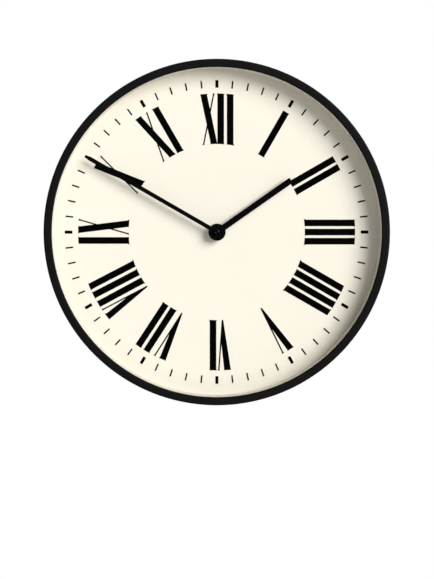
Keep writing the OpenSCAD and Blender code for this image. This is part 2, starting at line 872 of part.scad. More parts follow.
module middle_plate() {
    color("#e4e2da") difference() {
        union() {
            layer(middle_front, middle_back) chamber_outline(-plate_play);
            layer(middle_back, bridge_front) pillar_places() circle(pillar_r);
            // seats under the two ends of the stator and under the circuit board
            for (x = [coil_left, coil_right]) {
                bar([x, coil_z], seat_r, middle_back, stator_front);
            }
            for (x = [circuit_left + seat_r, circuit_right - seat_r]) {
                bar([x, circuit_mid_z], seat_r, middle_back, circuit_front);
            }
        }
        layer(middle_front - 1, bridge_front + 1) pillar_places() circle(movement_screw_r + fixed_fit);
        bar([0, 0], minute_shaft_r + running_fit, middle_front - 1, middle_back + 1);
        bar(third_at, pivot_r + running_fit, middle_front - 1, middle_back + 1);
        bar(fifth_at, pivot_r + running_fit, middle_front - 1, middle_back + 1);
        bar(rotor_at, rotor_pivot_r + running_fit, middle_front - 1, middle_back + 1);
        bar(transfer_at, pivot_r + running_fit, middle_front - 1, middle_back + 1);
        bar(setting_at, knob_shaft_r + running_fit, middle_front - 1, middle_back + 1);
        for (x = [coil_left, coil_right]) {
            bar([x, coil_z], coil_screw_r + fixed_fit, middle_back, stator_front + 1);
        }
    }
}

module train_bridge() {
    color("#e4e2da") difference() {
        layer(bridge_front, bridge_back) difference() {
            chamber_outline(-plate_play);
            box_outline(coil_left + coil_end, coil_z - coil_r - 1,
                coil_right - coil_end, coil_z + coil_r + 1);
            box_outline(circuit_left + seat_r, circuit_low + 1, circuit_right, circuit_top);
            pillar_places() circle(movement_screw_r + fixed_fit);
        }
        bar([0, 0], pivot_r + running_fit, bridge_front - 1, bridge_back + 1);
        bar(third_at, pivot_r + running_fit, bridge_front - 1, bridge_back + 1);
        bar(fifth_at, pivot_r + running_fit, bridge_front - 1, bridge_back + 1);
        bar(rotor_at, rotor_pivot_r + running_fit, bridge_front - 1, bridge_back + 1);
        bar(setting_at, knob_shaft_r + running_fit, bridge_front - 1, bridge_back + 1);
    }
}

module movement_cover() {
    ring_gap = 1;
    mark_t = 0.4;
    // a whole number, so that the panel's rounded corners meet its sides exactly
    panel_right = floor(setting_at[0] - knob_r - panel_inset);
    color("#343438") difference() {
        layer(cover_front, movement_t) chamber_outline(rebate - pivot_gap);
        // ring pressed round the knob, and a shallow plain panel beside it
        layer(movement_t - mark_t, movement_t + 1) translate(setting_at) difference() {
            circle(knob_r + 2 * ring_gap);
            circle(knob_r + ring_gap);
        }
        layer(movement_t - mark_t, movement_t + 1)
            rounded_box(-chamber_x + panel_inset, chamber_low + panel_inset,
                panel_right, chamber_top - panel_inset, ring_gap);
        bar(setting_at, knob_shaft_r + running_fit, cover_front - 1, movement_t + 1);
    }
}

module movement_screws() {
    head_h = 1;
    len = bridge_back - middle_front + movement_screw_bite;
    color("#b9b9b5") for (at = pillars) {
        translate([at[0], 0, at[1]])
            rear_screw(movement_front - bridge_back, movement_screw_r, 2 * movement_screw_r, head_h, len);
    }
}

module threaded_bush() {
    flange_back = movement_front - floor_back;
    color("#c8a349") {
        ring(bush_r, bush_bore_r, flange_back - thin, bush_front);
        ring(bush_flange_r, bush_bore_r, flange_back - bush_flange_t, flange_back);
    }
}

module rubber_washer() {
    color("#1c1c1e") ring(bush_r + 5, bush_r + screw_fit, movement_front, board_back);
}

module brass_washer() {
    color("#c8a349") ring(nut_flats / 2 + 2, bush_r + screw_fit, dial_front, dial_front + brass_washer_t);
}

module dial_nut() {
    seat = dial_front + brass_washer_t;
    color("#c8a349") difference() {
        off_wall(seat) cylinder(h = nut_t, r = nut_flats / 2 / cos(30), $fn = 6);
        disc(bush_r + fixed_fit, seat - 1, seat + nut_t + 1);
    }
}

// ---------- electronics ----------

module circuit_board() {
    color("#2f6b45") layer(circuit_front, circuit_back)
        box_outline(circuit_left, circuit_low, circuit_right, circuit_top);
}

module timing_chip() {
    chip_r = 2.2;
    chip_h = 0.9;
    color("#111111") translate([circuit_left + 2 * chip_r, 0, circuit_mid_z])
        off_wall(movement_front - circuit_back - chip_h) rotate_extrude() {
            translate([0, chip_h / 2]) square([chip_r, chip_h / 2]);
            square([chip_r - chip_h / 2, chip_h]);
        }
}

module quartz_crystal() {
    can_r = 0.9;
    can_len = 4.5;
    can_left = circuit_right - can_len - can_r;
    color("#c6c8ca") translate([can_left, can_r + circuit_back - movement_front, circuit_mid_z])
        rotate([0, 90, 0]) cylinder(h = can_len, r = can_r);
}

module along_coil(from) {
    translate([from, coil_depth - movement_front, coil_z]) rotate([0, 90, 0]) children();
}

module coil_bobbin() {
    color("#d9c9a0") along_coil(coil_left + coil_end) difference() {
        union() {
            cylinder(h = coil_len, r = sleeve_r);
            cylinder(h = flange_w, r = coil_r);
            translate([0, 0, coil_len - flange_w]) cylinder(h = flange_w, r = coil_r);
        }
        cube([core_w + 2 * core_play, stator_t + 2 * core_play, 3 * coil_len], center = true);
    }
}

module coil_winding() {
    color("#b3622c") along_coil(coil_left + coil_end) difference() {
        translate([0, 0, flange_w + core_play])
            cylinder(h = coil_len - 2 * (flange_w + core_play), r = coil_r - winding_inset);
        translate([0, 0, -1]) cylinder(h = coil_len + 2, r = sleeve_r + fixed_fit);
    }
}

module coil_core() {
    color("#8f9194") layer(stator_back, core_back) difference() {
        box_outline(coil_left - seat_r, coil_z - core_w / 2, coil_right + seat_r, coil_z + core_w / 2);
        coil_screw_holes();
    }
}

module coil_screw_holes() {
    for (x = [coil_left, coil_right]) {
        translate([x, coil_z]) circle(coil_screw_r + fixed_fit);
    }
}

module stator_plate() {
    color("#8f9194") difference() {
        layer(stator_front, stator_back) difference() {
            union() {
                translate(rotor_at) circle(stator_r);
                for (x = [coil_left, coil_right]) {
                    strip(rotor_at, [x, knee_z], stator_leg_w);
                    strip([x, knee_z], [x, coil_z], stator_leg_w);
                }
            }
            coil_screw_holes();
        }
        bar(rotor_at, magnet_r + layer_gap, stator_front - 1, stator_back + 1);
    }
}

module coil_screws() {
    head_h = 0.7;
    len = core_back - middle_back - layer_gap;
    color("#b9b9b5") for (x = [coil_left, coil_right]) {
        translate([x, 0, coil_z])
            rear_screw(movement_front - core_back, coil_screw_r, 2.4 * coil_screw_r, head_h, len);
    }
}

// ---------- battery ----------

// a contact strip in the movement's chamber, from the bay's end to the circuit board
module positive_contact() {
    plate_x = bay_x - contact_t;
    color("#cfd1d3") {
        layer(contact_front, contact_back)
            box_outline(plate_x, battery_z - contact_h / 2, bay_x, bay_top);
        layer(strip_front, strip_back) box_outline(plate_x, bay_top - 1, bay_x, strip_z + contact_t);
        layer(strip_front, strip_back)
            box_outline(circuit_right - seat_r, strip_z, bay_x, strip_z + contact_t);
        translate([plate_x - dimple_h, battery_depth - movement_front, battery_z])
            rotate([0, 90, 0]) cylinder(h = dimple_h + thin, r = 2);
    }
}

module negative_contact() {
    plate_x = -bay_x + contact_t;
    reach = battery_left - contact_gap - plate_x;
    bow = 4;
    color("#cfd1d3") {
        layer(contact_front, contact_back)
            box_outline(-bay_x, battery_z - contact_h / 2, plate_x, bay_top);
        layer(strip_front, strip_back) box_outline(-bay_x, bay_top - 1, plate_x, strip_z + contact_t);
        layer(strip_front, strip_back)
            box_outline(-bay_x, strip_z, circuit_left + seat_r, strip_z + contact_t);
        // leaf spring bowed towards the battery's flat end, drawn in plan
        translate([plate_x, battery_depth - movement_front, battery_z - bow / 2]) linear_extrude(bow)
            polygon([
                [0, -bow], [0, 2 * contact_t - bow], [reach - contact_t, 0],
                [0, bow - 2 * contact_t], [0, bow], [reach, contact_t], [reach, -contact_t]
            ]);
    }
}

module battery_places() {
    translate([battery_right, battery_depth - movement_front, battery_z]) rotate([0, -90, 0]) children();
}

module battery_can() {
    color("#c9cbcd") battery_places() {
        translate([0, 0, tip_len]) cylinder(h = battery_len - tip_len, r = battery_r - jacket_t - fixed_fit);
        cylinder(h = tip_len + thin, r = tip_r);
    }
}

module battery_jacket() {
    color("#3d4a55") battery_places() translate([0, 0, tip_len + jacket_edge]) difference() {
        cylinder(h = battery_len - tip_len - 2 * jacket_edge, r = battery_r);
        translate([0, 0, -1]) cylinder(h = battery_len, r = battery_r - jacket_t);
    }
}

// ---------- going train ----------

// a staff between the middle plate and the train bridge, with a pivot in each
module staff(at, r, pivot) {
    bar(at, r, middle_back + shoulder_gap, bridge_front - shoulder_gap);
    bar(at, pivot, middle_front + pivot_gap, bridge_back - pivot_gap);
}

module rotor_magnet() {
    color("#5b5d60") difference() {
        bar(rotor_at, magnet_r, stator_front - stator_t, stator_back + stator_t);
        bar(rotor_at, staff_r + fixed_fit, stator_front - stator_t - 1, stator_back + stator_t + 1);
    }
}

module rotor_staff() {
    color("#efe9d8") {
        staff(rotor_at, staff_r, rotor_pivot_r);
        gear(rotor_at, rotor_leaves, fifth_module, LEAF_TOOTH, rotor_leaf_turn,
            fifth_front - overhang, fifth_back + overhang);
    }
}

module fifth_wheel() {
    color("#efe9d8") difference() {
        union() {
            staff(fifth_at, staff_r, pivot_r);
            gear(fifth_at, train_teeth, fifth_module, WHEEL_TOOTH, fifth_turn, fifth_front, fifth_back);
            gear(fifth_at, fifth_leaves, seconds_module, LEAF_TOOTH, fifth_leaf_turn,
                seconds_front - overhang, fifth_front + thin);
        }
        wheel_holes(fifth_at, 5, web_hub_r, train_teeth * fifth_module / 2, fifth_front, fifth_back);
    }
}

module seconds_wheel() {
    color("#efe9d8") difference() {
        union() {
            gear([0, 0], train_teeth, seconds_module, WHEEL_TOOTH, seconds_turn, seconds_front, seconds_back);
            gear([0, 0], seconds_leaves, third_module, LEAF_TOOTH, seconds_leaf_turn,
                third_front - overhang, seconds_front + thin);
            bar([0, 0], staff_r, third_front - overhang, bridge_front - shoulder_gap);
            bar([0, 0], pivot_r, third_front, bridge_back - pivot_gap);
            disc(seconds_shaft_r, movement_front - third_front, minute_hand_back);
        }
        wheel_holes([0, 0], 5, web_hub_r, train_teeth * seconds_module / 2, seconds_front, seconds_back);
    }
}

module third_wheel() {
    color("#efe9d8") difference() {
        union() {
            staff(third_at, staff_r, pivot_r);
            gear(third_at, train_teeth, third_module, WHEEL_TOOTH, third_turn, third_front, third_back);
            gear(third_at, third_leaves, centre_module, LEAF_TOOTH, third_leaf_turn,
                centre_front - overhang, third_front + thin);
        }
        wheel_holes(third_at, 5, web_hub_r, train_teeth * third_module / 2, third_front, third_back);
    }
}

module centre_wheel() {
    color("#efe9d8") difference() {
        gear([0, 0], centre_teeth, centre_module, WHEEL_TOOTH, centre_turn, centre_front, centre_back);
        bar([0, 0], minute_shaft_r + fixed_fit, centre_front - 1, centre_back + 1);
        wheel_holes([0, 0], 6, web_hub_r + minute_shaft_r - staff_r, centre_teeth * centre_module / 2,
            centre_front, centre_back);
    }
}

module minute_arbor() {
    top = minute_hand_front + arbor_thread;
    color("#c8a349") difference() {
        union() {
            disc(minute_shaft_r, movement_front - centre_back, top);
            gear([0, 0], minute_leaves, transfer_module, LEAF_TOOTH, minute_turn,
                transfer_front - overhang, transfer_back + overhang);
        }
        disc(minute_bore_r, movement_front - centre_back - 1, top + 1);
    }
}

module transfer_wheel() {
    color("#efe9d8") difference() {
        union() {
            gear(transfer_at, transfer_teeth, transfer_module, WHEEL_TOOTH, transfer_turn,
                transfer_front, transfer_back);
            gear(transfer_at, transfer_leaves, hour_module, LEAF_TOOTH, transfer_leaf_turn,
                hour_front - overhang, transfer_front + thin);
            bar(transfer_at, staff_r, floor_back + shoulder_gap, middle_front - pivot_gap);
            bar(transfer_at, pivot_r, pivot_floor + pivot_gap, middle_back - pivot_gap);
        }
        wheel_holes(transfer_at, 4, web_hub_r, transfer_teeth * transfer_module / 2,
            transfer_front, transfer_back);
    }
}

module hour_wheel() {
    color("#efe9d8") difference() {
        union() {
            gear([0, 0], hour_teeth, hour_module, WHEEL_TOOTH, hour_turn, hour_front, hour_back);
            disc(hour_pipe_r, movement_front - hour_back, hour_hand_front + shoulder_gap);
        }
        disc(hour_bore_r, movement_front - hour_back - 1, hour_hand_front + 1);
        wheel_holes([0, 0], 6, hour_pipe_r + web_edge, hour_teeth * hour_module / 2, hour_front, hour_back);
    }
}

// ---------- setting knob ----------

module setting_knob() {
    knob_front = movement_t + layer_gap;
    knob_back = knob_front + knob_h;
    groove_r = 0.8;
    groove_count = 16;
    color("#b8322c") difference() {
        union() {
            bar(setting_at, knob_r, knob_front, knob_back);
            bar(setting_at, knob_shaft_r, floor_back + shoulder_gap, knob_front + thin);
            bar(setting_at, staff_r, pivot_floor + pivot_gap, floor_back + 1);
        }
        // finger grooves round the rim and a dished face
        layer(knob_front + groove_r, knob_back + 1) translate(setting_at) for (i = [1 : groove_count]) {
            rotate(i * 360 / groove_count) translate([knob_r + groove_r / 2, 0]) circle(groove_r);
        }
        bar(setting_at, knob_r - 2, knob_back - 1, knob_back + 1);
    }
}

module setting_pinion() {
    color("#efe9d8") difference() {
        gear(setting_at, setting_teeth, transfer_module, LEAF_TOOTH, setting_turn,
            transfer_front - overhang, transfer_back + overhang);
        bar(setting_at, knob_shaft_r + fixed_fit, transfer_front - 1, transfer_back + 1);
    }
}

// ---------- hands ----------

module hand(turn, height, len, w, hole_r) {
    rotate([0, turn, 0]) off_wall(height) linear_extrude(hand_t) difference() {
        union() {
            circle(hand_hub_r);
            translate([-w / 2, 0]) square([w, len]);
        }
        circle(hole_r);
    }
}

// a collet: a tube through the hand with a flange behind it
module collet(bore_r, outer_r, height, tail) {
    ring(outer_r, bore_r, height - tail, height + hand_t);
    ring(outer_r + collet_flange_w, bore_r, height - hand_t, height);
}

module hour_hand() {
    color("#0d0d0e") hand(30 * shown_time, hour_hand_back, numeral_foot_r + hour_hand_reach,
        hour_hand_w, hour_collet_r + fixed_fit);
}

module hour_collet() {
    color("#c8a349") collet(hour_pipe_r + fixed_fit, hour_collet_r, hour_hand_back, collet_tail);
}

module minute_hand() {
    len = track_r - mark_len + minute_hand_reach;
    color("#0d0d0e") hand(360 * (shown_time - floor(shown_time)), minute_hand_back, len,
        minute_hand_w, minute_collet_r + fixed_fit);
}

module minute_collet() {
    color("#c8a349") collet(minute_shaft_r + fixed_fit, minute_collet_r, minute_hand_back, collet_tail);
}

module cap_nut() {
    dome_r = (cap_r * cap_r + cap_h * cap_h) / 2 / cap_h;
    color("#0d0d0e") translate([0, -minute_hand_front, 0]) rotate([90, 0, 0]) difference() {
        rotate_extrude() intersection() {
            translate([0, cap_h - dome_r]) circle(dome_r);
            square([dome_r, cap_h]);
        }
        translate([0, 0, -1]) cylinder(h = 1 + arbor_thread + screw_fit, r = minute_shaft_r + fixed_fit);
    }
}

// ---------- assembly ----------

case_shell();
glass_gasket();
front_glass();
rehaut_ring();
dial_plate();
minute_track();
numerals();
dial_board();
spacer_posts();
post_screws();
back_pan();
side_screws();
hanger_plate();
hanger_rivets();
movement_housing();
middle_plate();
train_bridge();
movement_cover();
movement_screws();
threaded_bush();
rubber_washer();
brass_washer();
dial_nut();
circuit_board();
timing_chip();
quartz_crystal();
coil_bobbin();
coil_winding();
coil_core();
stator_plate();
coil_screws();
positive_contact();
negative_contact();
battery_can();
battery_jacket();
rotor_magnet();
rotor_staff();
fifth_wheel();
seconds_wheel();
third_wheel();
centre_wheel();
minute_arbor();
transfer_wheel();
hour_wheel();
setting_knob();
setting_pinion();
hour_hand();
hour_collet();
minute_hand();
minute_collet();
cap_nut();
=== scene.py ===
"""A round wall clock: its finishes, its fine detail, and the studio that it is shown in.

Everything is in metres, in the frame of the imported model: the hands turn about the Y axis,
the dial faces -Y, +X is right and +Z is up. Y is 0 at the wall and -0.066 at the bezel's face.
"""

import json
import logging
import math
from dataclasses import dataclass
from enum import Enum
from typing import Callable, Sequence, Union

import bmesh
import bpy
from mathutils import Matrix, Vector


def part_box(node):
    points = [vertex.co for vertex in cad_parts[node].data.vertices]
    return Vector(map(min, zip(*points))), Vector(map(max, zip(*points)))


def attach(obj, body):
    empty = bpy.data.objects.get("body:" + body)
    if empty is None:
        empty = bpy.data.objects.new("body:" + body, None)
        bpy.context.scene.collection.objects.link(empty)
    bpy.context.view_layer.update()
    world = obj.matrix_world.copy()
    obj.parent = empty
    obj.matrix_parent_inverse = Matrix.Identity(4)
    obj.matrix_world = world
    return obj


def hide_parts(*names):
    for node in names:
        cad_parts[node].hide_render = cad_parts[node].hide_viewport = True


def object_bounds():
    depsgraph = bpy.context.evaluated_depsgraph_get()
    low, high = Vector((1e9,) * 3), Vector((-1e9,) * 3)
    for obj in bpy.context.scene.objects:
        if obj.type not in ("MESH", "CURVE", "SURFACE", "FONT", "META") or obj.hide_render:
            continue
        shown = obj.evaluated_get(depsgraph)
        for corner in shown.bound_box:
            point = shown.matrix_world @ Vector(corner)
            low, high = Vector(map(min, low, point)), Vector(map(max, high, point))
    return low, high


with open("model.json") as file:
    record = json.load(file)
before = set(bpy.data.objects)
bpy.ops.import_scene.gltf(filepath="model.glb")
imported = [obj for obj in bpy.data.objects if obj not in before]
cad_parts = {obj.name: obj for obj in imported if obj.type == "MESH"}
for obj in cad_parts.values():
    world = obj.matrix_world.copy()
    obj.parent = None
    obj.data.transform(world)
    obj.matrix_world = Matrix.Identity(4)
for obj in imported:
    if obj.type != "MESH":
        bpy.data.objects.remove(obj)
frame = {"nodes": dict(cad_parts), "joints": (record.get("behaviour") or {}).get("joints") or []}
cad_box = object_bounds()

Colour = tuple[float, float, float, float]
Socket = bpy.types.NodeSocket
Outline = list[tuple[float, float]]
Value = Union["Field", Socket, float, Sequence[float], str, bpy.types.ID]
MM = 0.001
# How close two points of a piece's seam are to be made one, in metres.
SEAM = 1e-7
# The bends, in degrees, up to which two faces are one flat face or are shaded as one curve.
FLAT_BEND = 0.4
SMOOTH_BEND = 35.0
BROKEN_EDGE_BEND = 50.0
WHITE: Colour = (1.0, 1.0, 1.0, 1.0)
# The spans that hold nearly all, and most, of a cloudy pattern's values.
WIDE = (0.3, 0.7)
SOFT = (0.35, 0.65)
log = logging.getLogger("clock")


def srgb(red: float, green: float, blue: float) -> Colour:
    """Turns a colour as a screen shows it into the linear colour that shaders use.

    Args:
        red: The red part, 0 to 255.
        green: The green part, 0 to 255.
        blue: The blue part, 0 to 255.

    Returns:
        The linear colour, with an alpha of 1.
    """
    def linear(part: float) -> float:
        """Returns one part of the colour, made linear."""
        part /= 255
        return part / 12.92 if part <= 0.04045 else ((part + 0.055) / 1.055) ** 2.4

    return (linear(red), linear(green), linear(blue), 1.0)


def shade(colour: Colour, factor: float) -> Colour:
    """Returns a colour made darker or lighter by a factor."""
    return (colour[0] * factor, colour[1] * factor, colour[2] * factor, colour[3])


def sum_of(kind: str, turned: bool = False) -> Callable[..., "Field"]:
    """Makes a method of Field that adds one Math node.

    Args:
        kind: The node's operation.
        turned: Whether the field comes second, as where a plain number stands before it.

    Returns:
        The method.
    """
    def method(self: "Field", *others: Value) -> "Field":
        """Returns the node's result."""
        values = (self, *others)
        return self.tree.math(kind, *(values[::-1] if turned else values))

    return method


class Field:
    """A number that varies over a surface or a shape, worked out by Math nodes."""

    __add__ = sum_of("ADD")
    __radd__ = sum_of("ADD", True)
    __sub__ = sum_of("SUBTRACT")
    __rsub__ = sum_of("SUBTRACT", True)
    __mul__ = sum_of("MULTIPLY")
    __truediv__ = sum_of("DIVIDE")
    __pow__ = sum_of("POWER")
    __lt__ = sum_of("LESS_THAN")
    __abs__ = sum_of("ABSOLUTE")
    sine = sum_of("SINE")
    modulo = sum_of("FLOORED_MODULO")

    def __init__(self, tree: "Tree", socket: Socket) -> None:
        """Wraps the socket that gives the number.

        Args:
            tree: The tree that the socket is in.
            socket: The output socket.
        """
        self.tree = tree
        self.socket = socket

    def over(self, low: float, high: float, first: float = 0.0, last: float = 1.0) -> "Field":
        """Turns a span of this number smoothly into another.

        Args:
            low: Where the span starts.
            high: Where the span ends.
            first: What the start becomes.
            last: What the end becomes.

        Returns:
            The new number, held at its ends outside the span.
        """
        made = self.tree.node(
            "ShaderNodeMapRange",
            {"interpolation_type": "SMOOTHSTEP"},
            {"Value": self, "From Min": low, "From Max": high, "To Min": first, "To Max": last},
        )
        return Field(self.tree, made.outputs[0])


class Tree:
    """A node tree that is filled by short calls."""

    def __init__(self, tree: bpy.types.NodeTree) -> None:
        """Takes the tree to fill."""
        self.tree = tree

    def node(
        self, kind: str, settings: dict | None = None, sockets: dict | None = None
    ) -> bpy.types.Node:
        """Adds a node.

        Args:
            kind: The node's type.
            settings: Its own settings by name.
            sockets: What goes into its sockets, by their name or number.

        Returns:
            The node.
        """
        made = self.tree.nodes.new(kind)
        for name, value in (settings or {}).items():
            setattr(made, name, value)
        for key, value in (sockets or {}).items():
            self.plug(made.inputs[key], value)
        return made

    def plug(self, socket: Socket, value: Value) -> None:
        """Links a socket to a field or an output, or sets its own value.

        Args:
            socket: The input socket.
            value: What goes into it.
        """
        if isinstance(value, Field):
            value = value.socket
        if isinstance(value, bpy.types.NodeSocket):
            self.tree.links.new(value, socket)
        else:
            socket.default_value = value

    def math(self, operation: str, *values: Value) -> Field:
        """Returns the result of a Math node on one to three values."""
        made = self.node("ShaderNodeMath", {"operation": operation}, dict(enumerate(values)))
        return Field(self, made.outputs[0])

    def vector(self, x: Value, y: Value, z: Value) -> Socket:
        """Returns a vector made of three numbers."""
        return self.node("ShaderNodeCombineXYZ", {}, {0: x, 1: y, 2: z}).outputs[0]

    def parts(self, vector: Socket) -> tuple[Field, Field, Field]:
        """Returns the three parts of a vector."""
        made = self.node("ShaderNodeSeparateXYZ", {}, {0: vector})
        return tuple(Field(self, made.outputs[i]) for i in range(3))


class Paint(Tree):
    """A material's tree: one Principled shader, and patterns placed by Object coordinates."""

    def __init__(self, name: str) -> None:
        """Makes the material.

        Args:
            name: The material's name.
        """
        self.material = bpy.data.materials.new(name)
        self.material.use_nodes = True
        super().__init__(self.material.node_tree)
        self.tree.nodes.clear()
        self.shader = self.node("ShaderNodeBsdfPrincipled")
        self.output = self.node("ShaderNodeOutputMaterial", {}, {"Surface": self.shader.outputs[0]})
        self.place = self.node("ShaderNodeTexCoord").outputs["Object"]

    def set(self, **sockets: Value) -> None:
        """Fills the shader's sockets; an underscore in a name stands for a space."""
        for name, value in sockets.items():
            self.plug(self.shader.inputs[name.replace("_", " ")], value)

    def show(self, shader: Socket) -> None:
        """Makes a shader the one that the surface shows."""
        self.plug(self.output.inputs["Surface"], shader)

    def blend(self, factor: Value, first: Socket, second: Socket) -> Socket:
        """Returns a shader between two, first where the factor is 0."""
        made = self.node("ShaderNodeMixShader", {}, {0: factor, 1: first, 2: second})
        return made.outputs[0]

    def clear(self) -> Socket:
        """Returns the shader of a surface that isn't there."""
        return self.node("ShaderNodeBsdfTransparent", {}, {"Color": WHITE}).outputs[0]

    def here(self) -> tuple[Field, Field, Field]:
        """Returns the three parts of the place on the object."""
        return self.parts(self.place)

    def radius(self) -> Field:
        """Returns the distance from the hands' axis."""
        across, _, up = self.here()
        return ((across ** 2) + (up ** 2)) ** 0.5

    def scaled(self, size: float, stretch: Sequence[float], place: Socket) -> Socket:
        """Returns a place measured in a pattern's own sizes along each axis.

        Args:
            size: How large the pattern is, in metres.
            stretch: How many times longer it is along each axis.
            place: The place, in metres.

        Returns:
            The place in those sizes.
        """
        sizes = [size * part for part in stretch]
        made = self.node("ShaderNodeVectorMath", {"operation": "DIVIDE"}, {0: place, 1: sizes})
        return made.outputs[0]

    def noise(
        self,
        size: float,
        detail: float = 2.0,
        stretch: Sequence[float] = (1.0, 1.0, 1.0),
        place: Socket | None = None,
        rough: float = 0.5,
    ) -> Field:
        """Returns a cloudy pattern from about 0.25 to 0.75.

        Args:
            size: How large the clouds are, in metres.
            detail: How many finer layers they have.
            stretch: How many times longer they are along each axis.
            place: What places the pattern, if not the Object coordinates.
            rough: How strong the finer layers are.

        Returns:
            The pattern.
        """
        at = self.scaled(size, stretch, place or self.place)
        sockets = {"Vector": at, "Scale": 1.0, "Detail": detail, "Roughness": rough}
        return Field(self, self.node("ShaderNodeTexNoise", {}, sockets).outputs[0])

    def cells(self, size: float) -> Field:
        """Returns a pattern of scattered cells.

        Args:
            size: How large the cells are, in metres.

        Returns:
            The distance from the nearest cell's middle, as a share of that size.
        """
        at = self.scaled(size, (1.0, 1.0, 1.0), self.place)
        made = self.node("ShaderNodeTexVoronoi", {"feature": "F1"}, {"Vector": at, "Scale": 1.0})
        return Field(self, made.outputs["Distance"])

    def mix(self, factor: Value, first: Value, second: Value) -> Socket:
        """Returns a colour between two, first where the factor is 0."""
        made = self.node("ShaderNodeMix", {"data_type": "RGBA"}, {0: factor, 6: first, 7: second})
        return made.outputs[2]

    def varied(self, factor: Value, colour: Colour, dark: float, light: float) -> Socket:
        """Returns a colour that goes from darker to lighter shades of itself.

        Args:
            factor: Where it is which, from 0 to 1.
            colour: The colour.
            dark: What the darkest shade keeps of it.
            light: What the lightest shade keeps of it.

        Returns:
            The colour's socket.
        """
        return self.mix(factor, shade(colour, dark), shade(colour, light))

    def bump(self, height: Field, depth: float) -> Socket:
        """Returns a normal bent by a height that stands a depth, in metres, high where it is 1."""
        return self.node("ShaderNodeBump", {}, {"Height": height, "Distance": depth}).outputs[0]


@dataclass(frozen=True)
class Finish:
    """What every finish has.

    Attributes:
        name: The material's name.
    """

    name: str

    def material(self) -> bpy.types.Material:
        """Gives the finish's material, made the first time that it is asked for.

        Returns:
            The material.
        """
        made = bpy.data.materials.get(self.name)
        if made is None:
            paint = Paint(self.name)
            self.lay(paint)
            made = paint.material
        return made

    def lay(self, paint: Paint) -> None:
        """Fills the material's tree.

        Args:
            paint: The tree.
        """
        raise NotImplementedError


@dataclass(frozen=True)
class PowderCoat(Finish):
    """Baked powder on steel, with the fine orange peel that such paint dries with.

    Attributes:
        colour: The paint's colour.
        gloss: Its specular level.
        peel: How large the orange peel is, in metres.
        relief: How high the peel stands, in metres.
    """

    colour: Colour
    gloss: float = 0.25
    peel: float = 0.9 * MM
    relief: float = 0.012 * MM

    def lay(self, paint: Paint) -> None:
        """Fills the material's tree.

        Args:
            paint: The tree.
        """
        peel = paint.noise(self.peel, 3)
        speck = paint.cells(0.35 * MM).over(0.0, 0.5, 1.0, 0.0)
        cloud = paint.noise(28 * MM, 3)
        tone = (cloud * 0.6 + peel * 0.4).over(*SOFT)
        paint.set(
            Base_Color=paint.varied(tone, self.colour, 0.88, 1.14),
            Roughness=(peel * 0.5 + speck * 0.2 + cloud * 0.3).over(0.2, 0.7, 0.5, 0.64),
            Specular_IOR_Level=self.gloss,
            Normal=paint.bump(peel + speck * 0.35, self.relief),
        )


@dataclass(frozen=True)
class DialCard(Finish):
    """Matte coated card, printed a warm cream, with painted shade that darkens it a little towards
    the rim.

    Attributes:
        colour: The cream.
        painted_shade_from: The radius where the painted shade at the rim starts.
        painted_shade_to: The radius where that painted shade is deepest.
        painted_shade_keep: How much of the cream's colour the painted shade keeps there.
    """

    colour: Colour
    painted_shade_from: float = 183 * MM
    painted_shade_to: float = 208 * MM
    painted_shade_keep: float = 0.905

    def lay(self, paint: Paint) -> None:
        """Fills the material's tree.

        Args:
            paint: The tree.
        """
        tooth = paint.noise(0.35 * MM, 3)
        fibres = paint.noise(1.4 * MM, 3, (3.0, 1.0, 1.0))
        cloud = paint.noise(60 * MM, 2)
        tone = (tooth * 0.4 + fibres * 0.3 + cloud * 0.3).over(*SOFT)
        card = paint.varied(tone, self.colour, 0.985, 1.008)
        # Painted shade: the cream is darkened towards the rim by its colour, in place of less light
        # reaching there.
        edge = paint.radius().over(self.painted_shade_from, self.painted_shade_to)
        paint.set(
            Base_Color=paint.mix(edge, card, shade(self.colour, self.painted_shade_keep)),
            Roughness=fibres.over(*WIDE, 0.66, 0.78),
            Specular_IOR_Level=0.25,
            Normal=paint.bump(tooth * 0.6 + fibres * 0.4, 0.006 * MM),
        )


@dataclass(frozen=True)
class Ink(Finish):
    """Screen-printed ink, dense and dull, with the faint stipple of the screen's threads.

    Attributes:
        colour: The ink's colour.
        thread: How large the stipple is, in metres.
    """

    colour: Colour
    thread: float = 0.06 * MM

    def lay(self, paint: Paint) -> None:
        """Fills the material's tree.

        Args:
            paint: The tree.
        """
        across, _, up = paint.here()
        mesh = ((across / self.thread).sine() * (up / self.thread).sine()).over(-1.0, 1.0)
        cloud = paint.noise(3 * MM, 3)
        paint.set(
            Base_Color=paint.varied(cloud.over(*SOFT), self.colour, 1.0, 2.2),
            Roughness=(cloud * 0.5 + mesh * 0.5).over(0.2, 0.8, 0.6, 0.72),
            Specular_IOR_Level=0.01,
            Normal=paint.bump(mesh * 0.5 + cloud * 0.5, 0.003 * MM),
        )


@dataclass(frozen=True)
class HandLacquer(Finish):
    """Black lacquer on stamped metal, nearly dull, with faint lines from the metal under it.

    Attributes:
        colour: The lacquer's colour.
        gloss: Its specular level.
        rough: Its roughness where it is smoothest.
    """

    colour: Colour
    gloss: float = 0.03
    rough: float = 0.46

    def lay(self, paint: Paint) -> None:
        """Fills the material's tree.

        Args:
            paint: The tree.
        """
        lines = paint.noise(0.12 * MM, 2, (14.0, 1.0, 1.0))
        peel = paint.noise(0.7 * MM, 2)
        paint.set(
            Base_Color=paint.varied(peel.over(*SOFT), self.colour, 0.8, 1.3),
            Roughness=(lines * 0.5 + peel * 0.5).over(*WIDE, self.rough, self.rough + 0.14),
            Specular_IOR_Level=self.gloss,
            Normal=paint.bump(lines * 0.4 + peel * 0.6, 0.004 * MM),
        )


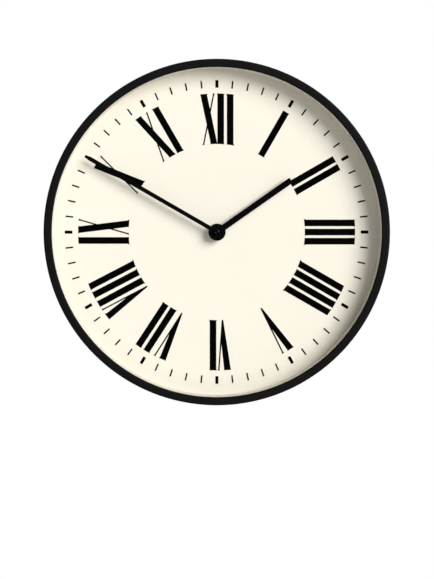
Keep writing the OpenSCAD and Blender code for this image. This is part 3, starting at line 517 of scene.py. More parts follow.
@dataclass(frozen=True)
class ClearGlass(Finish):
    """Clear glass that lets the lamps and the room's soft light through to what is behind it.

    Attributes:
        tint: The glass's faint colour.
    """

    tint: Colour = (0.985, 1.0, 0.993, 1.0)

    def lay(self, paint: Paint) -> None:
        """Fills the material's tree.

        Args:
            paint: The tree.
        """
        smear = paint.noise(55 * MM, 3)
        paint.set(
            Base_Color=self.tint,
            Roughness=smear.over(0.55, 0.8, 0.0, 0.012),
            IOR=1.5,
            Transmission_Weight=1.0,
        )
        ray = paint.node("ShaderNodeLightPath")
        lit = paint.math("MAXIMUM", ray.outputs["Is Shadow Ray"], ray.outputs["Is Diffuse Ray"])
        through = paint.math("MAXIMUM", lit, ray.outputs["Is Glossy Ray"])
        paint.show(paint.blend(through, paint.shader.outputs[0], paint.clear()))


@dataclass(frozen=True)
class MouldedPlastic(Finish):
    """Moulded plastic with the fine grain of an etched mould, rubbed a little smoother in places.

    Attributes:
        colour: The plastic's colour.
        grain: How large the grain is, in metres.
        relief: How deep the grain is, in metres.
        dull: The roughness that it varies about.
    """

    colour: Colour
    grain: float = 0.25 * MM
    relief: float = 0.01 * MM
    dull: float = 0.5

    def lay(self, paint: Paint) -> None:
        """Fills the material's tree.

        Args:
            paint: The tree.
        """
        grain = paint.cells(self.grain).over(0.1, 0.9)
        cloud = paint.noise(9 * MM, 3)
        flow = paint.noise(2.2 * MM, 2, (1.0, 1.0, 4.0))
        tone = (cloud * 0.5 + flow * 0.2 + grain * 0.3).over(0.2, 0.8)
        paint.set(
            Base_Color=paint.varied(tone, self.colour, 0.9, 1.08),
            Roughness=(cloud * 0.6 + grain * 0.4).over(0.2, 0.8, self.dull - 0.1, self.dull + 0.08),
            Specular_IOR_Level=0.45,
            Normal=paint.bump(grain, self.relief),
        )


@dataclass(frozen=True)
class TurnedMetal(Finish):
    """Metal turned on a lathe about the hands' axis, with its fine tool lines.

    Attributes:
        colour: The metal's colour.
        tarnish: Its colour where it has dulled.
        pitch: How far apart the tool lines are, in metres.
    """

    colour: Colour
    tarnish: Colour
    pitch: float = 0.08 * MM

    def lay(self, paint: Paint) -> None:
        """Fills the material's tree.

        Args:
            paint: The tree.
        """
        _, depth, _ = paint.here()
        across = paint.radius()
        rings = paint.vector(across, depth, 0.0)
        lines = paint.noise(self.pitch, 1, place=rings)
        blotch = paint.noise(2.4 * MM, 4)
        dulled = (blotch * 0.8 + lines * 0.2).over(0.5, 0.68)
        paint.set(
            Base_Color=paint.mix(dulled, self.colour, self.tarnish),
            Metallic=1.0,
            Roughness=(lines * 0.5 + blotch * 0.5).over(*WIDE, 0.2, 0.38),
            Normal=paint.bump(lines, 0.004 * MM),
        )


@dataclass(frozen=True)
class ZincPlate(Finish):
    """Bright zinc on small steel hardware, with faint yellow blotches.

    Attributes:
        colour: The zinc's colour.
        warm: Its colour in the blotches.
        worn: The roughness that it varies about.
    """

    colour: Colour = (0.37, 0.38, 0.40, 1.0)
    warm: Colour = (0.42, 0.39, 0.31, 1.0)
    worn: float = 0.34

    def lay(self, paint: Paint) -> None:
        """Fills the material's tree.

        Args:
            paint: The tree.
        """
        blotch = paint.noise(1.6 * MM, 4)
        cloud = paint.noise(6 * MM, 2)
        grit = paint.noise(0.12 * MM, 2)
        paint.set(
            Base_Color=paint.mix(
                (blotch * 0.6 + cloud * 0.4).over(0.42, 0.62), self.colour, self.warm
            ),
            Metallic=1.0,
            Roughness=(blotch * 0.5 + grit * 0.5).over(*WIDE, self.worn - 0.08, self.worn + 0.12),
            Normal=paint.bump(grit * 0.5 + blotch * 0.5, 0.004 * MM),
        )


@dataclass(frozen=True)
class RolledSheet(Finish):
    """Rolled sheet metal with long faint lines one way.

    Attributes:
        colour: The metal's colour.
        stain: Its colour in the darker streaks.
        along: How many times longer the lines are along each axis.
        dull: The roughness that it varies about.
    """

    colour: Colour
    stain: Colour
    along: tuple[float, float, float] = (30.0, 1.0, 1.0)
    dull: float = 0.34

    def lay(self, paint: Paint) -> None:
        """Fills the material's tree.

        Args:
            paint: The tree.
        """
        lines = paint.noise(0.1 * MM, 2, self.along)
        streaks = paint.noise(0.9 * MM, 3, self.along)
        blotch = paint.noise(7 * MM, 3)
        dulled = (streaks * 0.5 + blotch * 0.5).over(0.45, 0.65)
        paint.set(
            Base_Color=paint.mix(dulled, self.colour, self.stain),
            Metallic=1.0,
            Roughness=(lines * 0.5 + blotch * 0.5).over(*WIDE, self.dull - 0.09, self.dull + 0.12),
            Normal=paint.bump(lines * 0.7 + streaks * 0.3, 0.004 * MM),
        )


@dataclass(frozen=True)
class Fibreboard(Finish):
    """Pressed wood fibre: short brown fibres lying every way, with dark flecks.

    Attributes:
        light: The fibres' own brown.
        dark: The brown between them.
        ways: The ways that they lie, as angles about the Y axis in degrees.
    """

    light: Colour
    dark: Colour
    ways: tuple[float, ...] = (12.0, 71.0, 133.0)

    def lay(self, paint: Paint) -> None:
        """Fills the material's tree.

        Args:
            paint: The tree.
        """
        fibres = paint.noise(0.5 * MM, 3)
        for turn in self.ways:
            turned = paint.node(
                "ShaderNodeMapping",
                {},
                {"Vector": paint.place, "Rotation": (0.0, math.radians(turn), 0.0)},
            )
            strands = paint.noise(0.45 * MM, 3, (9.0, 1.0, 1.0), turned.outputs[0], 0.6)
            fibres = paint.math("MAXIMUM", fibres, strands)
        flecks = paint.noise(1.1 * MM, 2).over(0.68, 0.78)
        cloud = paint.noise(26 * MM, 2)
        tone = (fibres * 0.75 + cloud * 0.25).over(0.5, 0.72)
        base = paint.mix(tone, self.dark, self.light)
        paint.set(
            Base_Color=paint.mix(flecks * 0.4, base, shade(self.dark, 0.5)),
            Roughness=fibres.over(0.4, 0.8, 0.9, 0.74),
            Specular_IOR_Level=0.2,
            Normal=paint.bump(fibres, 0.05 * MM),
        )


@dataclass(frozen=True)
class Rubber(Finish):
    """Black rubber with a dusty bloom.

    Attributes:
        colour: The clean rubber's colour.
        bloom: Its colour under the dust.
    """

    colour: Colour
    bloom: Colour

    def lay(self, paint: Paint) -> None:
        """Fills the material's tree.

        Args:
            paint: The tree.
        """
        dust = paint.noise(3.5 * MM, 4)
        grain = paint.noise(0.2 * MM, 2)
        paint.set(
            Base_Color=paint.mix(dust.over(0.48, 0.72), self.colour, self.bloom),
            Roughness=grain.over(*WIDE, 0.72, 0.9),
            Specular_IOR_Level=0.3,
            Normal=paint.bump(grain * 0.7 + dust * 0.3, 0.02 * MM),
        )


@dataclass(frozen=True)
class PrintedCircuit(Finish):
    """Green lacquer over copper tracks, with bare copper pads between them.

    Attributes:
        lacquer: The lacquer's colour on bare board.
        track: Its colour over a track.
        copper: The pads' colour.
        lane: How far apart the tracks are, in metres.
        row: How far apart the rows of pads are, in metres.
    """

    lacquer: Colour
    track: Colour
    copper: Colour
    lane: float = 1.9 * MM
    row: float = 2.6 * MM

    def lay(self, paint: Paint) -> None:
        """Fills the material's tree.

        Args:
            paint: The tree.
        """
        across, _, up = paint.here()
        wander = paint.noise(5 * MM, 1) * (3.5 * MM)
        lanes = abs((across + wander).modulo(self.lane) / (self.lane / 2) - 1.0)
        rows = abs((up + wander).modulo(self.row) / (self.row / 2) - 1.0)
        tracks = lanes.over(0.62, 0.7)
        pads = ((lanes ** 2 + rows ** 2) ** 0.5).over(0.3, 0.38, 1.0, 0.0)
        weave = paint.noise(0.4 * MM, 2)
        green = paint.varied(weave.over(*WIDE), self.lacquer, 1.0, 1.2)
        paint.set(
            Base_Color=paint.mix(pads, paint.mix(tracks * 0.8, green, self.track), self.copper),
            Metallic=pads,
            Roughness=(pads * 0.2 + weave * 0.3).over(0.1, 0.4, 0.28, 0.42),
            Normal=paint.bump(tracks * 0.7 + pads * 0.2 + weave * 0.1, 0.04 * MM),
        )


@dataclass(frozen=True)
class EnamelledWire(Finish):
    """Copper wire under amber enamel, which is darker along some runs than others.

    Attributes:
        copper: The colour where the enamel is thin.
        amber: The colour where it is thick.
    """

    copper: Colour
    amber: Colour

    def lay(self, paint: Paint) -> None:
        """Fills the material's tree.

        Args:
            paint: The tree.
        """
        runs = paint.noise(0.5 * MM, 3, (1.0, 5.0, 5.0))
        paint.set(
            Base_Color=paint.mix(runs.over(*SOFT), self.copper, self.amber),
            Metallic=0.85,
            Roughness=runs.over(*WIDE, 0.24, 0.4),
            Coat_Weight=runs.over(*WIDE, 0.3, 0.7),
            Normal=paint.bump(runs, 0.01 * MM),
        )


@dataclass(frozen=True)
class CellJacket(Finish):
    """A battery's printed plastic sleeve: a dark body with a lighter band by the raised end.

    Attributes:
        body: The colour of the longer part.
        band: The colour of the band.
        line: The colour of the thin ring between them.
        band_at: Where the band starts, from the hands' axis towards +X.
        line_at: How far before it the ring's middle is.
        line_half: Half the ring's width.
        soft: How far the print's edges fade.
        scuff: The colour of the bare streaks where the print has rubbed.
    """

    body: Colour
    band: Colour
    line: Colour
    band_at: float
    line_at: float = 1.1 * MM
    line_half: float = 0.43 * MM
    soft: float = 0.05 * MM
    scuff: Colour = (0.3, 0.3, 0.3, 1.0)

    def lay(self, paint: Paint) -> None:
        """Fills the material's tree.

        Args:
            paint: The tree.
        """
        across, _, _ = paint.here()
        banded = across.over(self.band_at - self.soft, self.band_at + self.soft)
        off = abs(across - (self.band_at - self.line_at))
        ring = off.over(self.line_half - self.soft, self.line_half + self.soft, 1.0, 0.0)
        pearl = paint.noise(0.25 * MM, 2)
        wear = paint.noise(0.35 * MM, 3, (9.0, 1.0, 1.0)).over(0.64, 0.76)
        base = paint.mix(ring, paint.mix(banded, self.body, self.band), self.line)
        paint.set(
            Base_Color=paint.mix(wear * 0.16, base, self.scuff),
            Roughness=(pearl * 0.5 + wear * 0.5).over(0.2, 0.8, 0.2, 0.38),
            Specular_IOR_Level=0.5,
            Coat_Weight=0.4,
            Normal=paint.bump(pearl, 0.003 * MM),
        )


@dataclass(frozen=True)
class DrawnCan(Finish):
    """Nickel-plated steel drawn into a can, with rings left by the drawing.

    Attributes:
        colour: The nickel's colour.
        stain: Its colour where it has dulled.
    """

    colour: Colour
    stain: Colour

    def lay(self, paint: Paint) -> None:
        """Fills the material's tree.

        Args:
            paint: The tree.
        """
        rings = paint.noise(0.15 * MM, 2, (1.0, 60.0, 60.0))
        blotch = paint.noise(2.0 * MM, 3)
        paint.set(
            Base_Color=paint.mix(blotch.over(0.5, 0.7), self.colour, self.stain),
            Metallic=1.0,
            Roughness=(rings * 0.5 + blotch * 0.5).over(*WIDE, 0.16, 0.32),
            Normal=paint.bump(rings * 0.6 + blotch * 0.4, 0.006 * MM),
        )


@dataclass(frozen=True)
class StudioFloor(Finish):
    """A pale floor that keeps shadows and fades into the white background at its edge.

    Attributes:
        colour: The floor's colour.
        middle: The radius where it starts to fade.
        reach: The radius where it is gone.
        glow: How much of it the eye sees as plain white.
    """

    colour: Colour
    middle: float
    reach: float
    glow: float = 0.7

    def lay(self, paint: Paint) -> None:
        """Fills the material's tree.

        Args:
            paint: The tree.
        """
        across, deep, _ = paint.here()
        away = ((across ** 2) + (deep ** 2)) ** 0.5
        fade = away.over(self.middle, self.reach)
        paint.set(
            Base_Color=self.colour,
            Roughness=paint.noise(0.02, 3).over(*WIDE, 0.75, 0.9),
            Specular_IOR_Level=0.1,
        )
        ray = paint.node("ShaderNodeLightPath")
        seen = Field(paint, ray.outputs["Is Camera Ray"]) * self.glow
        white = paint.node("ShaderNodeEmission", {}, {"Color": WHITE}).outputs[0]
        pale = paint.blend(seen, paint.shader.outputs[0], white)
        paint.show(paint.blend(fade, pale, paint.clear()))


class Black(Enum):
    """The blacks of the clock, from the palest to the deepest."""

    COAT = srgb(19, 19, 19)
    PAN = srgb(30, 30, 31)
    PLASTIC = srgb(36, 36, 38)
    RUBBER = srgb(20, 20, 21)
    LACQUER = srgb(5, 5, 5)
    INK = (0.0006, 0.0006, 0.0006, 1.0)


CREAM: Colour = (0.97, 0.914, 0.791, 1.0)
RING_CREAM: Colour = (0.74, 0.70, 0.61, 1.0)
IVORY = srgb(232, 226, 208)

CASE_COAT = PowderCoat("case_coat", Black.COAT.value, 0.06)
PAN_COAT = PowderCoat("pan_coat", Black.PAN.value, 0.35, 0.7 * MM, 0.02 * MM)
SCREW_COAT = PowderCoat("screw_coat", Black.PAN.value, 0.5, 0.4 * MM, 0.004 * MM)
DIAL_CARD = DialCard("dial_card", CREAM)
RING_PLASTIC = MouldedPlastic("ring_plastic", RING_CREAM, 0.2 * MM, 0.002 * MM, 0.45)
PRINT_INK = Ink("print_ink", Black.INK.value)
HAND_LACQUER = HandLacquer("hand_lacquer", Black.LACQUER.value)
CAP_LACQUER = HandLacquer("cap_lacquer", Black.LACQUER.value, 0.25, 0.2)
FRONT_GLASS = ClearGlass("front_glass_clear")
HOUSING_PLASTIC = MouldedPlastic(
    "housing_plastic", Black.PLASTIC.value, 0.3 * MM, 0.016 * MM, 0.48
)
COVER_PLASTIC = MouldedPlastic("cover_plastic", Black.PLASTIC.value, 0.22 * MM, 0.01 * MM, 0.42)
PLATE_PLASTIC = MouldedPlastic("plate_plastic", IVORY, 0.3 * MM, 0.006 * MM, 0.42)
WHEEL_PLASTIC = MouldedPlastic("wheel_plastic", srgb(238, 234, 222), 0.2 * MM, 0.003 * MM, 0.36)
BOBBIN_PLASTIC = MouldedPlastic("bobbin_plastic", srgb(216, 200, 158), 0.2 * MM, 0.004 * MM, 0.4)
CHIP_PLASTIC = MouldedPlastic("chip_plastic", srgb(26, 26, 28), 0.12 * MM, 0.004 * MM, 0.3)
KNOB_PLASTIC = MouldedPlastic("knob_plastic", srgb(178, 44, 38), 0.25 * MM, 0.006 * MM, 0.36)
BRASS = TurnedMetal("brass_turned", srgb(206, 172, 98), srgb(164, 124, 62))
ZINC = ZincPlate("zinc_plate")
HANGER_STEEL = RolledSheet("hanger_steel", srgb(168, 170, 171), srgb(132, 130, 124))
CONTACT_NICKEL = RolledSheet(
    "contact_nickel", srgb(214, 212, 204), srgb(176, 170, 156), (1.0, 1.0, 30.0), 0.24
)
SOFT_IRON = RolledSheet(
    "soft_iron", srgb(150, 151, 153), srgb(112, 108, 102), (30.0, 1.0, 1.0), 0.4
)
MAGNET_COAT = RolledSheet(
    "magnet_coat", srgb(120, 122, 126), srgb(86, 86, 88), (1.0, 6.0, 1.0), 0.36
)
CRYSTAL_CAN = DrawnCan("crystal_can", srgb(218, 218, 214), srgb(186, 184, 178))
CELL_CAN = DrawnCan("cell_can_nickel", srgb(220, 220, 218), srgb(190, 188, 182))
CELL_JACKET = CellJacket(
    "cell_jacket_print", srgb(30, 46, 60), srgb(176, 182, 186), srgb(222, 224, 224), 12 * MM
)
BOARD_FIBRE = Fibreboard("board_fibre", srgb(172, 138, 98), srgb(118, 88, 58))
GASKET_RUBBER = Rubber("gasket_rubber", Black.RUBBER.value, srgb(48, 48, 49))
CIRCUIT = PrintedCircuit("circuit_lacquer", srgb(22, 84, 50), srgb(48, 120, 66), srgb(200, 128, 78))
COIL_WIRE = EnamelledWire("coil_wire_enamel", srgb(196, 104, 52), srgb(128, 58, 26))
FLOOR_PAINT = StudioFloor("floor_paint", (0.8, 0.8, 0.8, 1.0), 0.3, 0.64)

NODE_FINISHES: dict[Finish, tuple[str, ...]] = {
    CASE_COAT: ("case_shell",),
    PAN_COAT: ("back_pan",),
    SCREW_COAT: ("side_screws",),
    DIAL_CARD: ("dial_plate",),
    RING_PLASTIC: ("rehaut_ring",),
    PRINT_INK: ("minute_track", "numerals"),
    HAND_LACQUER: ("hour_hand", "minute_hand"),
    CAP_LACQUER: ("cap_nut",),
    FRONT_GLASS: ("front_glass",),
    HOUSING_PLASTIC: ("movement_housing",),
    COVER_PLASTIC: ("movement_cover",),
    PLATE_PLASTIC: ("middle_plate", "train_bridge"),
    WHEEL_PLASTIC: (
        "transfer_wheel", "third_wheel", "seconds_wheel", "fifth_wheel",
        "centre_wheel", "hour_wheel", "setting_pinion", "rotor_staff",
    ),
    BOBBIN_PLASTIC: ("coil_bobbin",),
    CHIP_PLASTIC: ("timing_chip",),
    KNOB_PLASTIC: ("setting_knob",),
    BRASS: (
        "threaded_bush", "brass_washer", "dial_nut",
        "minute_arbor", "hour_collet", "minute_collet",
    ),
    ZINC: ("spacer_posts", "post_screws", "hanger_rivets", "movement_screws", "coil_screws"),
    HANGER_STEEL: ("hanger_plate",),
    CONTACT_NICKEL: ("positive_contact", "negative_contact"),
    SOFT_IRON: ("coil_core", "stator_plate"),
    MAGNET_COAT: ("rotor_magnet",),
    CRYSTAL_CAN: ("quartz_crystal",),
    CELL_CAN: ("battery_can",),
    CELL_JACKET: ("battery_jacket",),
    BOARD_FIBRE: ("dial_board",),
    GASKET_RUBBER: ("glass_gasket", "rubber_washer"),
    CIRCUIT: ("circuit_board",),
    COIL_WIRE: ("coil_winding",),
}


def add_object(name: str, data: bpy.types.ID) -> bpy.types.Object:
    """Puts a mesh, a lamp or a camera into the scene.

    Args:
        name: The object's name.
        data: What it holds.

    Returns:
        The object.
    """
    made = bpy.data.objects.new(name, data)
    bpy.context.scene.collection.objects.link(made)
    return made


def dress(part: bpy.types.Object, finish: Finish) -> None:
    """Gives an object one finish all over."""
    part.data.materials.clear()
    part.data.materials.append(finish.material())


def dress_nodes() -> None:
    """Gives every part of the frame its finish."""
    for finish, nodes in NODE_FINISHES.items():
        for node in nodes:
            dress(frame["nodes"][node], finish)
            log.info("%s: %s", node, finish.name)


@dataclass
class Studio:
    """The lights, the floor and the camera.

    Attributes:
        distance: From the camera to the bezel's face.
        view_height: Height of the view at the bezel's face.
        sensor: The longer side of the camera's sensor, in millimetres.
        drop: How far the view's middle is below the hands' axis, as a share of its height.
        aside: How far the view's middle is to the right of that axis, as a share of its height.
        camera_x: The camera's place to the right of the hands' axis.
        camera_z: The camera's height above that axis.
        lamp_from: Direction from the clock to the main lamp.
        lamp_power: The main lamp's strength.
        lamp_spread: How wide each lamp looks from the clock, in degrees.
        fill_from: Direction from the clock to the lamp behind it.
        fill_power: That lamp's strength.
        ambient: The soft light from all round.
        ambient_lean: Which way, and how much, more of it comes from one side than the other.
        dark_side: How bright the room behind the camera looks in glossy surfaces.
        dark_to: How far round, from -1 at the camera's side to 1 at the wall's, that goes.
        white_from: From how far round they see the room white.
        floor_z: The floor's height.
        floor_r: The floor's radius.
    """

    distance: float = 2.0
    view_height: float = 0.75048
    sensor: float = 36.0
    drop: float = 0.09885
    aside: float = -0.00043
    camera_x: float = -0.046
    camera_z: float = 0.022
    lamp_from: tuple[float, float, float] = (0.6287, -0.7022, 0.3343)
    lamp_power: float = 3.29
    lamp_spread: float = 37.0
    fill_from: tuple[float, float, float] = (-0.45, 0.74, 0.5)
    fill_power: float = 2.6
    ambient: float = 0.35
    ambient_lean: tuple[float, float, float] = (0.1, 0.0, -0.9)
    dark_side: float = 0.012
    dark_to: float = -0.35
    white_from: float = 0.25
    floor_z: float = -0.75
    floor_r: float = 0.65

    def camera(self) -> None:
        """Makes the camera and hands it to the scene."""
        face = cad_box[0][1]
        lens = bpy.data.cameras.new("camera")
        lens.sensor_width = self.sensor
        lens.lens = self.sensor * self.distance / self.view_height
        lens.shift_x = self.aside
        lens.shift_y = -self.drop
        made = add_object("camera", lens)
        place = Vector((self.camera_x, face - self.distance, self.camera_z))
        aim = Vector((0.0, face, 0.0)) - place
        made.location = place
        made.rotation_euler = aim.to_track_quat("-Z", "Y").to_euler()
        bpy.context.scene.camera = made

    def lamp(self, name: str, towards: Sequence[float], power: float) -> None:
        """Makes a lamp far away.

        Args:
            name: The lamp's name.
            towards: The direction from the clock to the lamp.
            power: Its strength.
        """
        light = bpy.data.lights.new(name, "SUN")
        light.energy = power
        light.angle = math.radians(self.lamp_spread)
        made = add_object(name, light)
        made.rotation_euler = Vector(towards).to_track_quat("Z", "Y").to_euler()

    def world(self) -> None:
        """Makes the white background and the soft light from all round.

        The room is white to the eye and through glass. Glossy surfaces see it white towards the
        wall's side and dark towards the camera's, as in a studio with its lamps behind the clock.
        """
        room = bpy.data.worlds.new("room")
        room.use_nodes = True
        bpy.context.scene.world = room
        tree = Tree(room.node_tree)
        room.node_tree.nodes.clear()
        ray = tree.node("ShaderNodeLightPath")
        place = tree.node("ShaderNodeTexCoord").outputs["Generated"]
        _, depth, _ = tree.parts(place)
        behind = depth.over(self.dark_to, self.white_from, self.dark_side, 1.0)
        glossy = Field(tree, ray.outputs["Is Glossy Ray"])
        eye, through = ray.outputs["Is Camera Ray"], ray.outputs["Is Transmission Ray"]
        seen = tree.math("MAXIMUM", eye, through)
        lean = tree.node(
            "ShaderNodeVectorMath", {"operation": "DOT_PRODUCT"}, {0: place, 1: self.ambient_lean}
        )
        soft = (1.0 - seen) * (1.0 - glossy) * self.ambient * (1.0 + Field(tree, lean.outputs[1]))
        sky = tree.node(
            "ShaderNodeBackground",
            {},
            {"Color": WHITE, "Strength": seen + (1.0 - seen) * glossy * behind + soft},
        )
        tree.node("ShaderNodeOutputWorld", {}, {"Surface": sky.outputs[0]})

    def floor(self) -> None:
        """Makes the round floor below the clock."""
        mesh = bpy.data.meshes.new("floor")
        shape = bmesh.new()
        bmesh.ops.create_circle(shape, cap_ends=True, radius=self.floor_r, segments=96)
        bmesh.ops.translate(shape, verts=shape.verts, vec=(0.0, 0.0, self.floor_z))
        shape.to_mesh(mesh)
        shape.free()
        made = add_object("floor", mesh)
        dress(made, FLOOR_PAINT)

    def build(self) -> None:
        """Makes the camera, the lamps, the world and the floor."""
        self.camera()
        self.lamp("main_lamp", self.lamp_from, self.lamp_power)
        self.lamp("fill_lamp", self.fill_from, self.fill_power)
        self.world()
        self.floor()
        bpy.context.scene.view_settings.view_transform = "Standard"


class Shape(Tree):
    """A geometry tree with named inputs, run once to make a plain mesh."""

    KINDS = {
        float: "NodeSocketFloat",
        int: "NodeSocketInt",
        bpy.types.Object: "NodeSocketObject",
        bpy.types.Material: "NodeSocketMaterial",
    }

    def __init__(self, name: str) -> None:
        """Makes the empty tree.

        Args:
            name: The tree's name.
        """
        self.group = bpy.data.node_groups.new(name, "GeometryNodeTree")
        super().__init__(self.group)
        for way in ("INPUT", "OUTPUT"):
            self.group.interface.new_socket("Geometry", in_out=way, socket_type="NodeSocketGeometry")
        self.source = self.node("NodeGroupInput")
        self.values: dict[str, object] = {}

    def ask(self, name: str, value: float | int | bpy.types.ID) -> Field:
        """Adds a named input.

        Args:
            name: The input's name.
            value: What the modifier gives it.

        Returns:
            The input, ready for sums.
        """
        kind = next(socket for made, socket in self.KINDS.items() if isinstance(value, made))
        made = self.group.interface.new_socket(name, in_out="INPUT", socket_type=kind)
        self.values[made.identifier] = value
        return Field(self, self.source.outputs[name])

    @property
    def base(self) -> Socket:
        """The mesh that the tree works on."""
        return self.source.outputs["Geometry"]

    def index(self) -> Field:
        """Returns the number of each point."""
        return Field(self, self.node("GeometryNodeInputIndex").outputs[0])

    def attribute(self, name: str, kind: str = "FLOAT") -> Socket:
        """Returns a value stored on the points by its name."""
        made = self.node("GeometryNodeInputNamedAttribute", {"data_type": kind}, {"Name": name})
        return made.outputs[0]

    def moved(self, geometry: Socket, place: Socket) -> Socket:
        """Returns the geometry with each of its points put at a place of its own."""
        sockets = {"Geometry": geometry, "Position": place}
        return self.node("GeometryNodeSetPosition", {}, sockets).outputs[0]

    def joined(self, *parts: Socket) -> Socket:
        """Joins pieces of geometry.

        Args:
            parts: The pieces.

        Returns:
            All of them as one.
        """
        made = self.node("GeometryNodeJoinGeometry")
        for part in parts:
            self.plug(made.inputs[0], part)
        return made.outputs[0]

    def plate(self, outline: Socket, thickness: Value) -> Socket:
        """Fills a flat outline and raises it along +Z into a closed plate.

        Args:
            outline: The outline, a curve.
            thickness: How high it is raised.

        Returns:
            The plate.
        """
        face = self.node("GeometryNodeFillCurve", {}, {"Curve": outline}).outputs[0]
        up = self.vector(0.0, 0.0, 1.0)
        raised = self.node(
            "GeometryNodeExtrudeMesh",
            {},
            {"Mesh": face, "Offset": up, "Offset Scale": thickness, "Individual": False},
        )
        under = self.node("GeometryNodeFlipFaces", {}, {"Mesh": face})
        whole = self.joined(raised.outputs[0], under.outputs[0])
        sockets = {"Geometry": whole, "Distance": SEAM}
        return self.node("GeometryNodeMergeByDistance", {}, sockets).outputs[0]

    def fillet(self, curve: Socket, count: Value, radius: Value) -> Socket:
        """Returns a curve with its corners rounded by a number of points each."""
        sockets = {"Curve": curve, "Count": count, "Radius": radius, "Limit Radius": True}
        return self.node("GeometryNodeFilletCurve", {"mode": "POLY"}, sockets).outputs[0]

    def about(self, axis: Sequence[float], angle: Value) -> Socket:
        """Returns a turn by an angle, in radians, about an axis."""
        sockets = {"Axis": axis, "Angle": angle}
        return self.node("FunctionNodeAxisAngleToRotation", {}, sockets).outputs[0]

    def then_turned(self, first: Socket, second: Socket) -> Socket:
        """Makes two turns one after the other, the second in the first one's own frame.

        Args:
            first: The first turn.
            second: The second turn.

        Returns:
            Both as one.
        """
        sockets = {"Rotation": first, "Rotate By": second}
        local = {"rotation_space": "LOCAL"}
        return self.node("FunctionNodeRotateRotation", local, sockets).outputs[0]

    def run(
        self, name: str, geometry: Socket, finish: Finish, base: bpy.types.Mesh | None = None
    ) -> bpy.types.Object:
        """Ends the tree, runs it, and keeps only the plain mesh.

        Args:
            name: The piece's name.
            geometry: What the tree makes.
            finish: The piece's finish.
            base: The mesh that the tree works on, if it needs one.

        Returns:
            The piece, at the origin.
        """
        material = self.ask("Material", finish.material())
        whole = self.node("GeometryNodeRealizeInstances", {}, {0: geometry})
        sockets = {"Geometry": whole.outputs[0], "Material": material}
        dressed = self.node("GeometryNodeSetMaterial", {}, sockets)
        self.node("NodeGroupOutput", {}, {0: dressed.outputs[0]})
        made = add_object(name, base or bpy.data.meshes.new(name))
        modifier = made.modifiers.new("shape", "NODES")
        modifier.node_group = self.group
        for identifier, value in self.values.items():
            modifier[identifier] = value
        keep_modified(made)
        while made.data.materials[0] is None:
            made.data.materials.pop(index=0)
        return made


def keep_modified(part: bpy.types.Object) -> bpy.types.Object:
    """Keeps an object's mesh as its modifiers leave it, and clears them.

    Args:
        part: The object.

    Returns:
        The same object.
    """
    whole = part.evaluated_get(bpy.context.evaluated_depsgraph_get())
    mesh = bpy.data.meshes.new_from_object(whole)
    part.modifiers.clear()
    part.data = mesh
    return part


def settle(
    part: bpy.types.Object, sharp: float = SMOOTH_BEND, merge: float = 10 * SEAM
) -> bpy.types.Object:
    """Closes a piece's seams, turns its faces outwards and smooths its shading.

    Args:
        part: The piece.
        sharp: The bend, in degrees, past which an edge stays sharp.
        merge: How close two points are to be made one, in metres.

    Returns:
        The same piece.
    """
    shape = bmesh.new()
    shape.from_mesh(part.data)
    bmesh.ops.remove_doubles(shape, verts=shape.verts, dist=merge)
    bmesh.ops.recalc_face_normals(shape, faces=shape.faces)
    shape.to_mesh(part.data)
    shape.free()
    part.data.shade_smooth()
    part.data.set_sharp_from_angle(angle=math.radians(sharp))
    return part


def forget(part: bpy.types.Object, *names: str) -> None:
    """Removes what was stored on a piece's points.

    Args:
        part: The piece.
        names: What the values are called.
    """
    for name in names:
        stored = part.data.attributes.get(name)
        if stored is not None:
            part.data.attributes.remove(stored)


